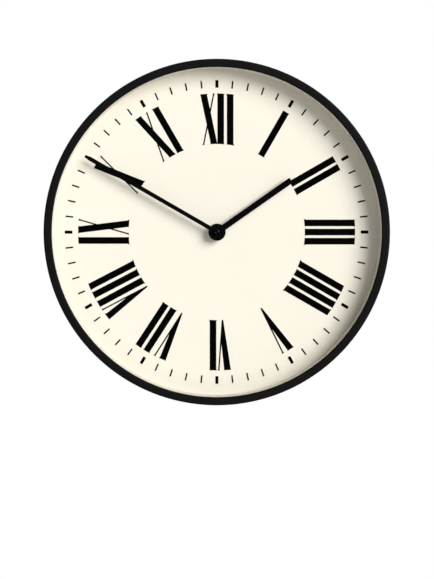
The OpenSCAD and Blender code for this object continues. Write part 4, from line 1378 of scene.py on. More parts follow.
@dataclass
class Lathe:
    """Turns a profile about an axis, with rounded corners and flutes where they are asked for.

    Attributes:
        steps: How many faces go round.
        corner_steps: How many points round each corner.
        flutes: How many flutes are cut round the piece.
        flute_depth: How deep they are, where a corner's fourth number is 1.
    """

    steps: int
    corner_steps: int
    flutes: int = 0
    flute_depth: float = 0.0

    def tree(self) -> tuple[Shape, Socket]:
        """Makes the tree that turns a profile about Z.

        The profile is swept round a small circle, whose radius its corners are short by.

        Returns:
            The tree, and the turned geometry.
        """
        shape = Shape("turned_piece")
        steps = shape.ask("Steps Round", self.steps)
        corner = shape.ask("Steps At Corners", self.corner_steps)
        flutes = shape.ask("Flutes", float(self.flutes))
        depth = shape.ask("Flute Depth", self.flute_depth)
        line = shape.node("GeometryNodeMeshToCurve", {}, {"Mesh": shape.base}).outputs[0]
        rounded = shape.fillet(line, corner, shape.attribute("round"))
        hub = shape.node("GeometryNodeCurvePrimitiveCircle", {}, {"Resolution": steps, "Radius": MM})
        spun = shape.node(
            "GeometryNodeCurveToMesh", {}, {"Curve": hub.outputs[0], "Profile Curve": rounded}
        ).outputs[0]
        x, y, z = shape.parts(shape.node("GeometryNodeInputPosition").outputs[0])
        wave = (shape.math("ARCTAN2", y, x) * flutes).sine() * 0.5 + 0.5
        fluted = Field(shape, shape.attribute("fluted"))
        away = shape.math("MAXIMUM", (x ** 2 + y ** 2) ** 0.5, MM)
        keep = 1.0 - (wave ** 3) * fluted * depth / away
        return shape, shape.moved(spun, shape.vector(x * keep, y * keep, z))

    def turn(
        self,
        name: str,
        corners: Sequence[Sequence[float]],
        finish: Finish,
        closed: bool = False,
        place: Matrix | None = None,
    ) -> bpy.types.Object:
        """Makes a turned piece.

        Args:
            name: The piece's name.
            corners: The profile's corners: radius, height, and then if wanted how much the corner
                is rounded and whether it is fluted.
            finish: The piece's finish.
            closed: Whether the profile closes on itself, clear of the axis.
            place: What moves the piece from +Z to its own place.

        Returns:
            The piece.
        """
        rows = [tuple(corner) + (0.0,) * (4 - len(corner)) for corner in corners]
        count = len(rows)
        mesh = bpy.data.meshes.new(name)
        links = [(i, (i + 1) % count) for i in range(count if closed else count - 1)]
        mesh.from_pydata([(row[0] - MM, -row[1], 0.0) for row in rows], links, [])
        for key, column in (("round", 2), ("fluted", 3)):
            values = mesh.attributes.new(key, "FLOAT", "POINT")
            values.data.foreach_set("value", [row[column] for row in rows])
        shape, spun = self.tree()
        made = shape.run(name, spun, finish, mesh)
        forget(made, "round", "fluted")
        settle(made)
        if place is not None:
            made.data.transform(place)
        return made


def off_wall(height: float = 0.0) -> Matrix:
    """Returns what stands a piece drawn along +Z at a height off the wall, growing towards -Y."""
    return Matrix.Translation((0.0, -height, 0.0)) @ Matrix.Rotation(math.radians(90), 4, "X")


def to_wall(height: float, x: float, z: float) -> Matrix:
    """Returns what stands a piece drawn along +Z at a height off the wall, growing towards +Y."""
    return Matrix.Translation((x, -height, z)) @ Matrix.Rotation(math.radians(-90), 4, "X")


def along_x(x: float, y: float, z: float) -> Matrix:
    """Returns what lays a piece drawn along +Z at a place, growing towards +X."""
    return Matrix.Translation((x, y, z)) @ Matrix.Rotation(math.radians(90), 4, "Y")


def middle(node: str) -> Vector:
    """Returns the middle of one of the frame's parts."""
    low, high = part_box(node)
    return (low + high) / 2


def pivot(body: str) -> Vector:
    """Returns a point on the axis that one of the frame's bodies turns about."""
    joint = next(joint for joint in frame["joints"] if joint["child"] == body)
    return Vector(joint["pos_m"])


def fit(part: bpy.types.Object, body: str, slot: str, *nodes: str) -> None:
    """Makes a finished piece part of the clock.

    Args:
        part: The piece.
        body: The body that it moves with.
        slot: The slot that its finish belongs to; not used.
        nodes: The frame's parts that it stands for.
    """
    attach(part, body)
    if nodes:
        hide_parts(*nodes)
    log.info("%s: %d faces, moves with %s", part.name, len(part.data.polygons), body)


def softened(
    name: str, node: str, finish: Finish, width: float, bend: float = 30.0
) -> bpy.types.Object:
    """Makes a copy of one of the frame's parts with its edges rounded.

    Args:
        name: The copy's name.
        node: The part that it is a copy of.
        finish: The copy's finish.
        width: How far back the rounding goes from each edge.
        bend: The bend, in degrees, past which an edge is rounded.

    Returns:
        The copy.
    """
    made = add_object(name, frame["nodes"][node].data.copy())
    shape = bmesh.new()
    shape.from_mesh(made.data)
    bmesh.ops.remove_doubles(shape, verts=shape.verts, dist=10 * SEAM)
    bmesh.ops.dissolve_limit(
        shape, angle_limit=math.radians(FLAT_BEND), verts=shape.verts, edges=shape.edges
    )
    shape.to_mesh(made.data)
    shape.free()
    bevel = made.modifiers.new("rounding", "BEVEL")
    bevel.width = width
    bevel.segments = 2
    bevel.limit_method = "ANGLE"
    bevel.angle_limit = math.radians(bend)
    bevel.use_clamp_overlap = True
    keep_modified(made)
    dress(made, finish)
    settle(made, BROKEN_EDGE_BEND, SEAM)
    flat = made.modifiers.new("flat_faces", "WEIGHTED_NORMAL")
    flat.weight = 100
    flat.keep_sharp = True
    return keep_modified(made)


def raised(
    name: str, outlines: Sequence[Outline], face: float, height: float, finish: Finish
) -> bpy.types.Object:
    """Raises flat signs from a face that looks at the wall.

    Each sign reaches as far into the face as it stands out of it.

    Args:
        name: The piece's name.
        outlines: Each sign's outline, across and up.
        face: Where the face is, along Y.
        height: How high the signs stand.
        finish: Their finish.

    Returns:
        The signs as one piece.
    """
    shape = bmesh.new()
    for outline in outlines:
        foot = [shape.verts.new((x, face - height, z)) for x, z in outline]
        top = [shape.verts.new((x, face + height, z)) for x, z in outline]
        shape.faces.new(foot)
        shape.faces.new(top[::-1])
        for i in range(len(outline)):
            shape.faces.new((foot[i], foot[i - 1], top[i - 1], top[i]))
    bmesh.ops.recalc_face_normals(shape, faces=shape.faces)
    bmesh.ops.triangulate(shape, faces=shape.faces, ngon_method="EAR_CLIP")
    mesh = bpy.data.meshes.new(name)
    shape.to_mesh(mesh)
    shape.free()
    made = add_object(name, mesh)
    dress(made, finish)
    return settle(made)


TO_WALL = Vector((0.0, 1.0, 0.0))


class Drive(Enum):
    """What turns a fastener: the angles of the slots in its head."""

    CROSS = (0.0, 90.0)
    NONE = ()


@dataclass
class Fastener:
    """A pan-head screw or a rivet, drawn along +Z with the underside of its head at 0.

    Attributes:
        shank_r: Radius of the shank.
        head_r: Radius of the head.
        head_h: Height of the head.
        length: Length of the shank.
        finish: Its finish.
        steps: How many faces go round it.
        drive: What turns it.
        thread: Length of the threaded end.
        pitch: How far apart the thread's turns are.
        root: The radius between the thread's turns, as a share of the shank's.
        point: The radius at a screw's end, as a share of the root's.
        foot_r: Radius of a rivet's far head, or 0 for a screw's point.
        foot_h: Height of that head.
        foot_edge: Rounding of its rim.
        edge: Rounding of the head's rim.
        straight: How far up the head's side goes before the dome, as a share of its height.
        dome_steps: How many faces go from there to the top.
        crown: How much narrower a screw's dome is at its top, as a share of the head's radius.
        slot_length: Length of a slot's cutter, as a share of the head's radius.
        slot_width: Its width, as such a share.
        slot_floor: How high the slot's floor is, as a share of the head's height.
        slot_taper: How much of its length and width the slot keeps at its floor.
    """

    shank_r: float
    head_r: float
    head_h: float
    length: float
    finish: Finish
    steps: int = 28
    drive: Drive = Drive.CROSS
    thread: float = 0.0
    pitch: float = 0.7 * MM
    root: float = 0.82
    point: float = 0.6
    foot_r: float = 0.0
    foot_h: float = 0.0
    foot_edge: float = 0.2 * MM
    edge: float = 0.12 * MM
    straight: float = 0.42
    dome_steps: int = 6
    crown: float = 0.34
    slot_length: float = 1.15
    slot_width: float = 0.3
    slot_floor: float = 0.42
    slot_taper: float = 0.8

    def rivet_end(self) -> list[tuple[float, ...]]:
        """Draws a rivet's far head.

        Returns:
            Its corners.
        """
        end = -self.length - self.foot_h
        return [
            (0.0, end), (self.foot_r, end, self.foot_edge),
            (self.foot_r, -self.length, self.foot_edge / 2), (self.shank_r, -self.length),
        ]

    def screw_end(self) -> list[tuple[float, ...]]:
        """Draws a screw's blunt point and its thread.

        Returns:
            Their corners.
        """
        crest, root = self.shank_r, self.root * self.shank_r
        start = -self.length + 0.5 * self.shank_r
        turns = int(self.thread / self.pitch)
        rows: list[tuple[float, ...]] = [(0.0, -self.length), (self.point * root, -self.length)]
        for i in range(turns):
            rows += [(root, start + i * self.pitch), (crest, start + (i + 0.5) * self.pitch)]
        rows += [(root, start + turns * self.pitch), (crest, start + (turns + 0.5) * self.pitch)]
        return rows

    def head(self) -> list[tuple[float, ...]]:
        """Draws the head and its dome.

        Returns:
            Their corners.
        """
        rows: list[tuple[float, ...]] = [(self.shank_r, 0.0), (self.head_r, 0.0, self.edge)]
        side = self.straight * self.head_h
        crown = self.crown if self.drive.value else 1.0
        for i in range(self.dome_steps + 1):
            angle = math.radians(90 * i / self.dome_steps)
            out = self.head_r * (1 - crown * (1 - math.cos(angle))) if i < self.dome_steps else 0.0
            rows.append((out, side + (self.head_h - side) * math.sin(angle)))
        return rows

    def cutter(self, turn: float) -> bpy.types.Object:
        """Makes the tapered block that cuts one slot.

        Args:
            turn: The slot's angle, in degrees.

        Returns:
            The block.
        """
        shape = bmesh.new()
        bmesh.ops.create_cube(shape, size=1.0)
        for corner in shape.verts:
            low = corner.co.z < 0
            corner.co.x *= self.slot_length * self.head_r * (self.slot_taper if low else 1.0)
            corner.co.y *= self.slot_width * self.head_r * (self.slot_taper if low else 1.0)
            corner.co.z = self.head_h * (self.slot_floor if low else 1.5)
        shape.transform(Matrix.Rotation(math.radians(turn), 4, "Z"))
        mesh = bpy.data.meshes.new("cutter")
        shape.to_mesh(mesh)
        shape.free()
        return add_object("cutter", mesh)

    def part(self) -> bpy.types.Object:
        """Makes one fastener, its recess cut by boolean modifiers.

        Returns:
            The fastener.
        """
        end = self.rivet_end() if self.foot_r else self.screw_end()
        lathe = Lathe(self.steps, corner_steps=2)
        made = lathe.turn("fastener", end + self.head(), self.finish)
        cutters = [self.cutter(turn) for turn in self.drive.value]
        for cutter in cutters:
            cut = made.modifiers.new("recess", "BOOLEAN")
            cut.operation = "DIFFERENCE"
            cut.solver = "EXACT"
            cut.object = cutter
        keep_modified(made)
        for cutter in cutters:
            bpy.data.objects.remove(cutter)
        return made

    def scatter(
        self, name: str, places: Sequence[Vector], seed: int, aims: Sequence[Vector] = ()
    ) -> bpy.types.Object:
        """Sets copies at several places, each turned about its axis by chance.

        Args:
            name: The piece's name.
            places: Where the copies go.
            seed: What the chance turns are drawn from.
            aims: What each one's +Z is aimed at, if not all at the wall.

        Returns:
            The copies as one piece.
        """
        mesh = bpy.data.meshes.new(name)
        mesh.from_pydata(places, [], [])
        stored = mesh.attributes.new("aim", "FLOAT_VECTOR", "POINT")
        aimed = aims or [TO_WALL] * len(places)
        stored.data.foreach_set("vector", [value for aim in aimed for value in aim])
        part = self.part()
        shape = Shape("fasteners")
        copied = shape.node("GeometryNodeObjectInfo", {}, {"Object": shape.ask("Part", part)})
        aim = shape.attribute("aim", "FLOAT_VECTOR")
        lined = shape.node("FunctionNodeAlignRotationToVector", {"axis": "Z"}, {"Vector": aim})
        span = {2: 0.0, 3: math.tau, "Seed": shape.ask("Seed", seed)}
        chance = shape.node("FunctionNodeRandomValue", {"data_type": "FLOAT"}, span)
        turn = shape.about((0.0, 0.0, 1.0), chance.outputs[1])
        sockets = {
            "Points": shape.base,
            "Instance": copied.outputs["Geometry"],
            "Rotation": shape.then_turned(lined.outputs[0], turn),
        }
        copies = shape.node("GeometryNodeInstanceOnPoints", {}, sockets)
        made = shape.run(name, copies.outputs[0], self.finish, mesh)
        bpy.data.objects.remove(part)
        forget(made, "aim")
        return settle(made)


def wound(
    name: str,
    core: bpy.types.Object,
    finish: Finish,
    turns: float,
    radius: float,
    height: float,
    wire: float,
    sides: int,
    steps: int = 18,
) -> bpy.types.Object:
    """Winds a wire, or a thread's ridge, round a core that is drawn along +Z.

    Args:
        name: The piece's name.
        core: What it is wound on, with its foot at 0; it is used up.
        finish: The piece's finish.
        turns: How many turns there are.
        radius: From the axis to the wire's middle.
        height: How high the turns reach.
        wire: The wire's radius.
        sides: How many sides the wire has.
        steps: How many straight pieces each turn has.

    Returns:
        The core and its turns as one piece.
    """
    shape = Shape("wound_turns")
    asked_turns = shape.ask("Turns", turns)
    asked_radius = shape.ask("Radius", radius)
    spiral = shape.node(
        "GeometryNodeCurveSpiral",
        {},
        {
            "Resolution": shape.ask("Steps A Turn", steps),
            "Rotations": asked_turns,
            "Start Radius": asked_radius,
            "End Radius": asked_radius,
            "Height": shape.ask("Height", height),
        },
    )
    sockets = {"Resolution": shape.ask("Sides", sides), "Radius": shape.ask("Wire Radius", wire)}
    section = shape.node("GeometryNodeCurvePrimitiveCircle", {}, sockets)
    turned = shape.node(
        "GeometryNodeCurveToMesh",
        {},
        {"Curve": spiral.outputs[0], "Profile Curve": section.outputs[0], "Fill Caps": True},
    )
    made = shape.run(name, shape.joined(shape.base, turned.outputs[0]), finish, core.data.copy())
    bpy.data.objects.remove(core)
    return settle(made, BROKEN_EDGE_BEND)


def round_places(count: int, radius: float, height: float, start: float) -> list[Vector]:
    """Returns places spaced evenly round the hands' axis.

    Args:
        count: How many.
        radius: How far from the axis.
        height: How far off the wall.
        start: The first one's angle clockwise from 12 o'clock, in degrees.

    Returns:
        The places.
    """
    angles = [math.radians(start + i * 360 / count) for i in range(count)]
    return [Vector((radius * math.sin(a), -height, radius * math.cos(a))) for a in angles]


def paired_places(aside: float, heights: Sequence[float], off: float) -> list[Vector]:
    """Returns places on both sides of the hands' axis.

    Args:
        aside: How far to its left and right.
        heights: How far above it.
        off: How far off the wall.

    Returns:
        The places, those on the left first.
    """
    return [Vector((x, -off, z)) for x in (-aside, aside) for z in heights]


@dataclass
class Case:
    """The case: its spun steel shell and the screws through its side.

    Attributes:
        radius: The case's outer radius.
        depth: From the wall to the bezel's face.
        sheet: The steel's thickness.
        bezel: The bezel's width.
        edge_round: Rounding of the case's outer front edge.
        lip_round: Rounding where the bezel turns back.
        lip_depth: How far the lip goes back from the bezel's face.
        rim_round: Rounding of the shell's back edge.
        lip_edge: Rounding of the lip's own edge.
        screw_count: How many screws go through the side.
        screw_height: How far off the wall they are.
        screw_r: Radius of their shanks.
        screw_length: Length of their shanks.
        screw_thread: Length of their threads.
        screw_pitch: How far apart the threads' turns are.
    """

    radius: float = 225 * MM
    depth: float = 66 * MM
    sheet: float = 1.2 * MM
    bezel: float = 10.7 * MM
    edge_round: float = 2.4 * MM
    lip_round: float = 1.8 * MM
    lip_depth: float = 3.5 * MM
    rim_round: float = 0.3 * MM
    lip_edge: float = 0.5 * MM
    screw_count: int = 8
    screw_height: float = 4.75 * MM
    screw_r: float = 1.4 * MM
    screw_length: float = 5.0 * MM
    screw_thread: float = 4.0 * MM
    screw_pitch: float = 0.5 * MM

    def shell(self) -> None:
        """Spins the shell: side, rounded bezel and turned-back lip."""
        bore = self.radius - self.bezel
        inside = self.radius - self.sheet
        lip = self.depth - self.lip_depth
        under = self.depth - self.sheet
        corners = [
            (self.radius, 0.0, self.rim_round),
            (self.radius, self.depth, self.edge_round),
            (bore, self.depth, self.lip_round),
            (bore, lip, self.lip_edge),
            (bore + self.sheet, lip, self.lip_edge),
            (bore + self.sheet, under, self.lip_round - self.sheet),
            (inside, under, self.edge_round - self.sheet),
            (inside, 0.0, self.rim_round),
        ]
        lathe = Lathe(steps=288, corner_steps=10)
        made = lathe.turn("case_shell_spun", corners, CASE_COAT, True, off_wall())
        fit(made, "case", "case_black", "case_shell")

    def screws(self) -> None:
        """Sets the screws round the case's side."""
        screw = Fastener(
            self.screw_r, 2 * self.screw_r, self.screw_r, self.screw_length, SCREW_COAT,
            thread=self.screw_thread, pitch=self.screw_pitch,
        )
        start = 180 / self.screw_count
        places = round_places(self.screw_count, self.radius, self.screw_height, start)
        outwards = [Vector((place.x, 0.0, place.z)).normalized() for place in places]
        made = screw.scatter("side_screw_set", places, seed=3, aims=outwards)
        fit(made, "case", "screw_black", "side_screws")

    def build(self) -> None:
        """Makes the case's pieces."""
        self.shell()
        self.screws()


@dataclass
class Dial:
    """The printing round the dial's edge.

    Attributes:
        ink: How thick the ink is.
        track_r: The outer radius of the ring of marks.
        mark_length: Length of a mark.
        minute_width: Width of a minute's mark.
        hour_width: Width of an hour's mark.
        corner: Rounding of the marks' corners.
        marks: How many marks there are.
        hours_every: Every how many marks an hour's comes.
    """

    ink: float = 0.12 * MM
    track_r: float = 198.9 * MM
    mark_length: float = 10 * MM
    minute_width: float = 2 * MM
    hour_width: float = 4 * MM
    corner: float = 0.12 * MM
    marks: int = 60
    hours_every: int = 5

    def build(self) -> None:
        """Prints the ring of marks, wider at the hours."""
        shape = Shape("minute_marks")
        count = shape.ask("Marks", self.marks)
        radius = shape.ask("Outer Radius", self.track_r)
        length = shape.ask("Mark Length", self.mark_length)
        narrow = shape.ask("Minute Width", self.minute_width)
        wide = shape.ask("Hour Width", self.hour_width)
        ink = shape.ask("Ink Thickness", self.ink)
        face = shape.ask("Dial Height", -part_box("minute_track")[1].y)
        corner = shape.ask("Corner Radius", self.corner)
        sizes = {"Width": narrow, "Height": length}
        box = shape.node("GeometryNodeCurvePrimitiveQuadrilateral", {}, sizes)
        mark = shape.plate(shape.fillet(box.outputs[0], 2, corner), ink)
        angle = shape.index() * math.tau / count
        centre = radius - length * 0.5
        across, up = angle.sine() * centre, (angle + math.pi / 2).sine() * centre
        points = shape.node("GeometryNodeMeshLine", {}, {"Count": count})
        ring = shape.moved(points.outputs[0], shape.vector(across, face * -1.0, up))
        upright = shape.about((1.0, 0.0, 0.0), math.pi / 2)
        stand = shape.then_turned(shape.about((0.0, 1.0, 0.0), angle), upright)
        hourly = shape.index().modulo(float(self.hours_every)) < 0.5
        stretch = shape.vector(1.0 + hourly * (wide / narrow - 1.0), 1.0, 1.0)
        sockets = {"Points": ring, "Instance": mark, "Rotation": stand, "Scale": stretch}
        marks = shape.node("GeometryNodeInstanceOnPoints", {}, sockets)
        made = settle(shape.run("minute_marks_print", marks.outputs[0], PRINT_INK), merge=SEAM)
        fit(made, "case", "print_black", "minute_track")


@dataclass
class Back:
    """What is fixed to the back pan: its screws and the riveted hanger plate.

    Attributes:
        pan: How far off the wall the pan's back is.
        post_count: How many spacer posts there are.
        post_circle: The radius that they stand on.
        screw_r: Radius of their screws' shanks.
        screw_length: Length of those shanks.
        screw_thread: Length of those threads.
        rivet_r: Radius of a rivet's shank.
        rivet_head_r: Radius of its head.
        rivet_foot_r: Radius of its far head.
        rivet_head_h: Height of both heads.
        rivet_grip: Thickness of what it holds together.
        rivet_x: How far the rivets are to either side of the hands' axis.
        rivet_heights: How far above that axis they are.
        plate_round: Rounding of the hanger plate's edges.
    """

    pan: float = 8 * MM
    post_count: int = 6
    post_circle: float = 190 * MM
    screw_r: float = 2 * MM
    screw_length: float = 27.5 * MM
    screw_thread: float = 12 * MM
    rivet_r: float = 2 * MM
    rivet_head_r: float = 3.5 * MM
    rivet_foot_r: float = 3 * MM
    rivet_head_h: float = 1 * MM
    rivet_grip: float = 2.5 * MM
    rivet_x: float = 27 * MM
    rivet_heights: tuple[float, float] = (148.5 * MM, 172 * MM)
    plate_round: float = 0.25 * MM

    def screws(self) -> None:
        """Sets the screws that hold the spacer posts."""
        screw = Fastener(
            self.screw_r, 2 * self.screw_r, 1.2 * self.screw_r, self.screw_length, ZINC, 36,
            thread=self.screw_thread,
        )
        places = round_places(self.post_count, self.post_circle, self.pan, 180 / self.post_count)
        made = screw.scatter("post_screw_set", places, seed=7)
        fit(made, "case", "zinc_steel", "post_screws")

    def rivets(self) -> None:
        """Sets the rivets that hold the hanger plate."""
        rivet = Fastener(
            self.rivet_r, self.rivet_head_r, self.rivet_head_h, self.rivet_grip, ZINC, 36,
            Drive.NONE, foot_r=self.rivet_foot_r, foot_h=self.rivet_head_h,
        )
        places = paired_places(self.rivet_x, self.rivet_heights, self.pan)
        made = rivet.scatter("hanger_rivet_set", places, seed=1)
        fit(made, "case", "zinc_steel", "hanger_rivets")

    def hanger(self) -> None:
        """Rounds the hanger plate's edges."""
        made = softened("hanger_plate_pressed", "hanger_plate", HANGER_STEEL, self.plate_round)
        fit(made, "case", "zinc_steel", "hanger_plate")

    def build(self) -> None:
        """Makes the back's pieces."""
        self.screws()
        self.rivets()
        self.hanger()


@dataclass
class Hands:
    """The two hands, stamped from sheet, with their edges just broken, and the nut over them.

    Attributes:
        edge: Rounding of the hands' edges.
        nut_r: The nut's radius.
        nut_h: Its height.
        bore_r: Radius of the blind hole in its foot.
        bore_h: Depth of that hole.
        side_h: How far up its straight side goes.
        slope_r: Radius halfway up the slope above that side.
        slope_h: Height halfway up that slope.
        rim_r: Radius of the flat top.
        dish_r: Radius of the dish in its top.
        dish: Depth of that dish.
    """

    edge: float = 0.18 * MM
    nut_r: float = 3.6 * MM
    nut_h: float = 3.2 * MM
    bore_r: float = 1.52 * MM
    bore_h: float = 1.3 * MM
    side_h: float = 1.92 * MM
    slope_r: float = 3.384 * MM
    slope_h: float = 2.688 * MM
    rim_r: float = 2.4 * MM
    dish_r: float = 1.9 * MM
    dish: float = 0.45 * MM

    def build(self) -> None:
        """Makes the hands and the nut."""
        for node, body in (("hour_hand", "hour"), ("minute_hand", "minute")):
            made = softened(node + "_stamped", node, HAND_LACQUER, self.edge)
            fit(made, body, "hand_black", node)
        self.nut()

    def nut(self) -> None:
        """Turns the closed nut that holds the minute hand, with a shallow dish in its flat top."""
        floor = self.nut_h - self.dish
        corners = [
            (0.0, self.bore_h), (self.bore_r, self.bore_h), (self.bore_r, 0.0),
            (self.nut_r, 0.0, 0.1 * MM), (self.nut_r, self.side_h, 0.3 * MM),
            (self.slope_r, self.slope_h, 0.4 * MM), (self.rim_r, self.nut_h, 0.3 * MM),
            (self.dish_r, floor, 0.3 * MM), (0.0, floor),
        ]
        foot = -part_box("cap_nut")[1].y
        lathe = Lathe(steps=64, corner_steps=5)
        made = lathe.turn("cap_nut_turned", corners, CAP_LACQUER, place=off_wall(foot))
        fit(made, "minute", "hand_black", "cap_nut")


@dataclass
class Movement:
    """The movement's moulded shell, its screws, and the signs raised on its cover.

    Attributes:
        screw_x: How far the screws are to either side of the hands' axis.
        screw_heights: How far above that axis they are.
        screw_plane: How far off the wall the undersides of their heads are.
        screw_r: Radius of their shanks.
        screw_head_h: Height of their heads.
        screw_length: Length of their shanks.
        screw_thread: Length of their threads.
        screw_pitch: How far apart the threads' turns are.
        housing_round: Rounding of the housing's edges.
        cover_round: Rounding of the cover's edges.
        bend: The bend, in degrees, past which those edges are rounded.
        mark_h: How high the signs stand.
        sign: Half the length of a sign's bar.
        sign_x: How far the battery's signs are to either side of the hands' axis.
        sign_z: How far above that axis they are.
        line: Half the width of a sign's bar.
        arrow_r: Radius of the curved arrow round the knob.
        arrow_from: Where it starts, in degrees from upwards.
        arrow_to: Where its head starts.
        arrow_steps: How many straight pieces it has.
        arrow_tip: Length of its head.
        arrow_barb: Half the head's width, as a share of the bar's half width.
    """

    screw_x: float = 23.4 * MM
    screw_heights: tuple[float, float] = (-10.3 * MM, 20.4 * MM)
    screw_plane: float = 19.5 * MM
    screw_r: float = 0.75 * MM
    screw_head_h: float = 1 * MM
    screw_length: float = 9.1 * MM
    screw_thread: float = 3 * MM
    screw_pitch: float = 0.4 * MM
    housing_round: float = 0.3 * MM
    cover_round: float = 0.15 * MM
    bend: float = 50.0
    mark_h: float = 0.22 * MM
    sign: float = 1.3 * MM
    sign_x: float = 20.6 * MM
    sign_z: float = -10.3 * MM
    line: float = 0.28 * MM
    arrow_r: float = 9.8 * MM
    arrow_from: float = -52.0
    arrow_to: float = 34.0
    arrow_steps: int = 20
    arrow_tip: float = 1.7 * MM
    arrow_barb: float = 3.2

    def shell(self) -> None:
        """Rounds the edges of the moulded housing and its cover."""
        for node, finish, width in (
            ("movement_housing", HOUSING_PLASTIC, self.housing_round),
            ("movement_cover", COVER_PLASTIC, self.cover_round),
        ):
            made = softened(node + "_moulded", node, finish, width, self.bend)
            fit(made, "case", "housing_black", node)

    def screws(self) -> None:
        """Sets the screws that hold the movement's plates."""
        screw = Fastener(
            self.screw_r, 2 * self.screw_r, self.screw_head_h, self.screw_length, ZINC,
            pitch=self.screw_pitch, thread=self.screw_thread,
        )
        places = paired_places(self.screw_x, self.screw_heights, self.screw_plane)
        made = screw.scatter("movement_screw_set", places, seed=5)
        fit(made, "case", "zinc_steel", "movement_screws")

    def arrow(self) -> Outline:
        """Draws the curved arrow that shows which way the knob turns.

        Returns:
            Its outline, about the knob's axis.
        """
        def at(radius: float, angle: float) -> tuple[float, float]:
            """Returns the corner at a radius and an angle, in radians from upwards."""
            return (radius * math.sin(angle), radius * math.cos(angle))

        swept = (self.arrow_to - self.arrow_from) / self.arrow_steps
        sweep = [
            math.radians(self.arrow_from + swept * i) for i in range(self.arrow_steps + 1)
        ]
        outer = [at(self.arrow_r + self.line, angle) for angle in sweep]
        inner = [at(self.arrow_r - self.line, angle) for angle in reversed(sweep)]
        barb = self.arrow_barb * self.line
        head = [
            at(self.arrow_r + barb, sweep[-1]),
            at(self.arrow_r, sweep[-1] + self.arrow_tip / self.arrow_r),
            at(self.arrow_r - barb, sweep[-1]),
        ]
        return outer + head + inner

    def marks(self) -> None:
        """Raises the battery's plus and minus signs and the knob's arrow on the cover."""
        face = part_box("movement_cover")[1].y
        knob = middle("setting_knob")
        bar, half = self.sign, self.line
        minus = [(-bar, -half), (bar, -half), (bar, half), (-bar, half)]
        plus = [
            (-bar, -half), (-half, -half), (-half, -bar), (half, -bar),
            (half, -half), (bar, -half), (bar, half), (half, half),
            (half, bar), (-half, bar), (-half, half), (-bar, half),
        ]
        outlines = [
            [(x + self.sign_x, z + self.sign_z) for x, z in plus],
            [(x - self.sign_x, z + self.sign_z) for x, z in minus],
            [(x + knob.x, z + knob.z) for x, z in self.arrow()],
        ]
        made = raised("cover_marks", outlines, face, self.mark_h, COVER_PLASTIC)
        fit(made, "case", "housing_black")

    def build(self) -> None:
        """Makes the movement's pieces."""
        self.shell()
        self.screws()
        self.marks()


@dataclass
class SettingKnob:
    """The knob at the back that sets the hands, fluted round its rim and dished in its face.

    Attributes:
        front: How far off the wall the knob's shaft side is.
        height: The knob's height.
        radius: The knob's radius.
        flutes: How many flutes go round it.
        flute_depth: How deep they are.
        shaft_r: Radius of its shaft.
        shaft_length: Length of the shaft as far as the tip.
        tip_r: Radius of the shaft's tip.
        tip_length: Length of that tip.
        foot_h: Height of the narrower foot that it rises from.
        foot_in: How much narrower that foot is.
        dish_r: Radius of the dish in its face.
        dish: Depth of that dish.
    """

    front: float = 14.1 * MM
    height: float = 4 * MM
    radius: float = 6.5 * MM
    flutes: int = 16
    flute_depth: float = 0.55 * MM
    shaft_r: float = 1.0 * MM
    shaft_length: float = 16.25 * MM
    tip_r: float = 0.8 * MM
    tip_length: float = 0.8 * MM
    foot_h: float = 1.0 * MM
    foot_in: float = 0.5 * MM
    dish_r: float = 4.7 * MM
    dish: float = 0.9 * MM

    def build(self) -> None:
        """Makes the knob and its shaft."""
        end = -self.shaft_length - self.tip_length
        floor = self.height - self.dish
        corners = [
            (0.0, end), (self.tip_r, end, 0.1 * MM), (self.tip_r, -self.shaft_length),
            (self.shaft_r, -self.shaft_length), (self.shaft_r, 0.0),
            (self.radius - self.foot_in, 0.0, 0.2 * MM),
            (self.radius - 0.4 * self.foot_in, 0.7 * self.foot_h, 0.2 * MM),
            (self.radius, self.foot_h, 0.2 * MM, 1.0),
            (self.radius, self.height, 0.6 * MM, 1.0), (self.dish_r, self.height, 0.4 * MM),
            (self.dish_r - 0.3 * MM, floor, 0.5 * MM), (0.0, floor - 0.1 * MM),
        ]
        lathe = Lathe(192, 5, self.flutes, self.flute_depth)
        axis = pivot("setting")
        place = to_wall(self.front, axis.x, axis.z)
        made = lathe.turn("setting_knob_moulded", corners, KNOB_PLASTIC, place=place)
        fit(made, "setting", "knob_red", "setting_knob")


@dataclass
class Cell:
    """The battery: its drawn can and its printed sleeve.

    Their profiles are in millimetres: how far from the axis, how far along it from the middle,
    and then if wanted how much the corner is rounded.

    Attributes:
        can: The can's profile, from the flat end to the contact tip.
        sleeve: The sleeve's profile, up the outside and back down the inside.
    """

    can: tuple[tuple[float, ...], ...] = (
        (0.0, -24.75), (4.5, -24.75, 0.1), (4.9, -24.9, 0.1), (6.2, -24.9, 0.3),
        (6.88, -24.3, 0.4), (6.88, 22.7, 0.15), (6.55, 23.0, 0.2), (6.55, 23.3, 0.2),
        (6.85, 23.6, 0.15), (6.85, 24.0, 0.3), (6.3, 24.3, 0.2), (5.9, 24.0, 0.2),
        (3.3, 24.0, 0.3), (2.75, 24.5, 0.3), (2.75, 25.6, 0.4), (0.0, 25.6),
    )
    sleeve: tuple[tuple[float, ...], ...] = (
        (7.1, -24.5, 0.4), (7.1, 24.2, 0.4), (6.1, 24.45, 0.05), (6.1, 24.35, 0.05),
        (6.93, 24.05, 0.2), (6.93, -24.3, 0.2), (6.3, -24.93, 0.03), (6.3, -24.99, 0.03),
    )

    def build(self) -> None:
        """Makes the can, with its crimped end and contact tip, and the sleeve round it."""
        lathe = Lathe(steps=72, corner_steps=4)
        axis = middle("battery_can")
        place = along_x(0.0, axis.y, axis.z)
        for name, rows, finish, slot, node in (
            ("battery_can_drawn", self.can, CELL_CAN, "cell_can", "battery_can"),
            ("battery_sleeve", self.sleeve, CELL_JACKET, "cell_jacket", "battery_jacket"),
        ):
            corners = [tuple(value * MM for value in row) for row in rows]
            made = lathe.turn(name, corners, finish, rows is self.sleeve, place)
            fit(made, "battery", slot, node)


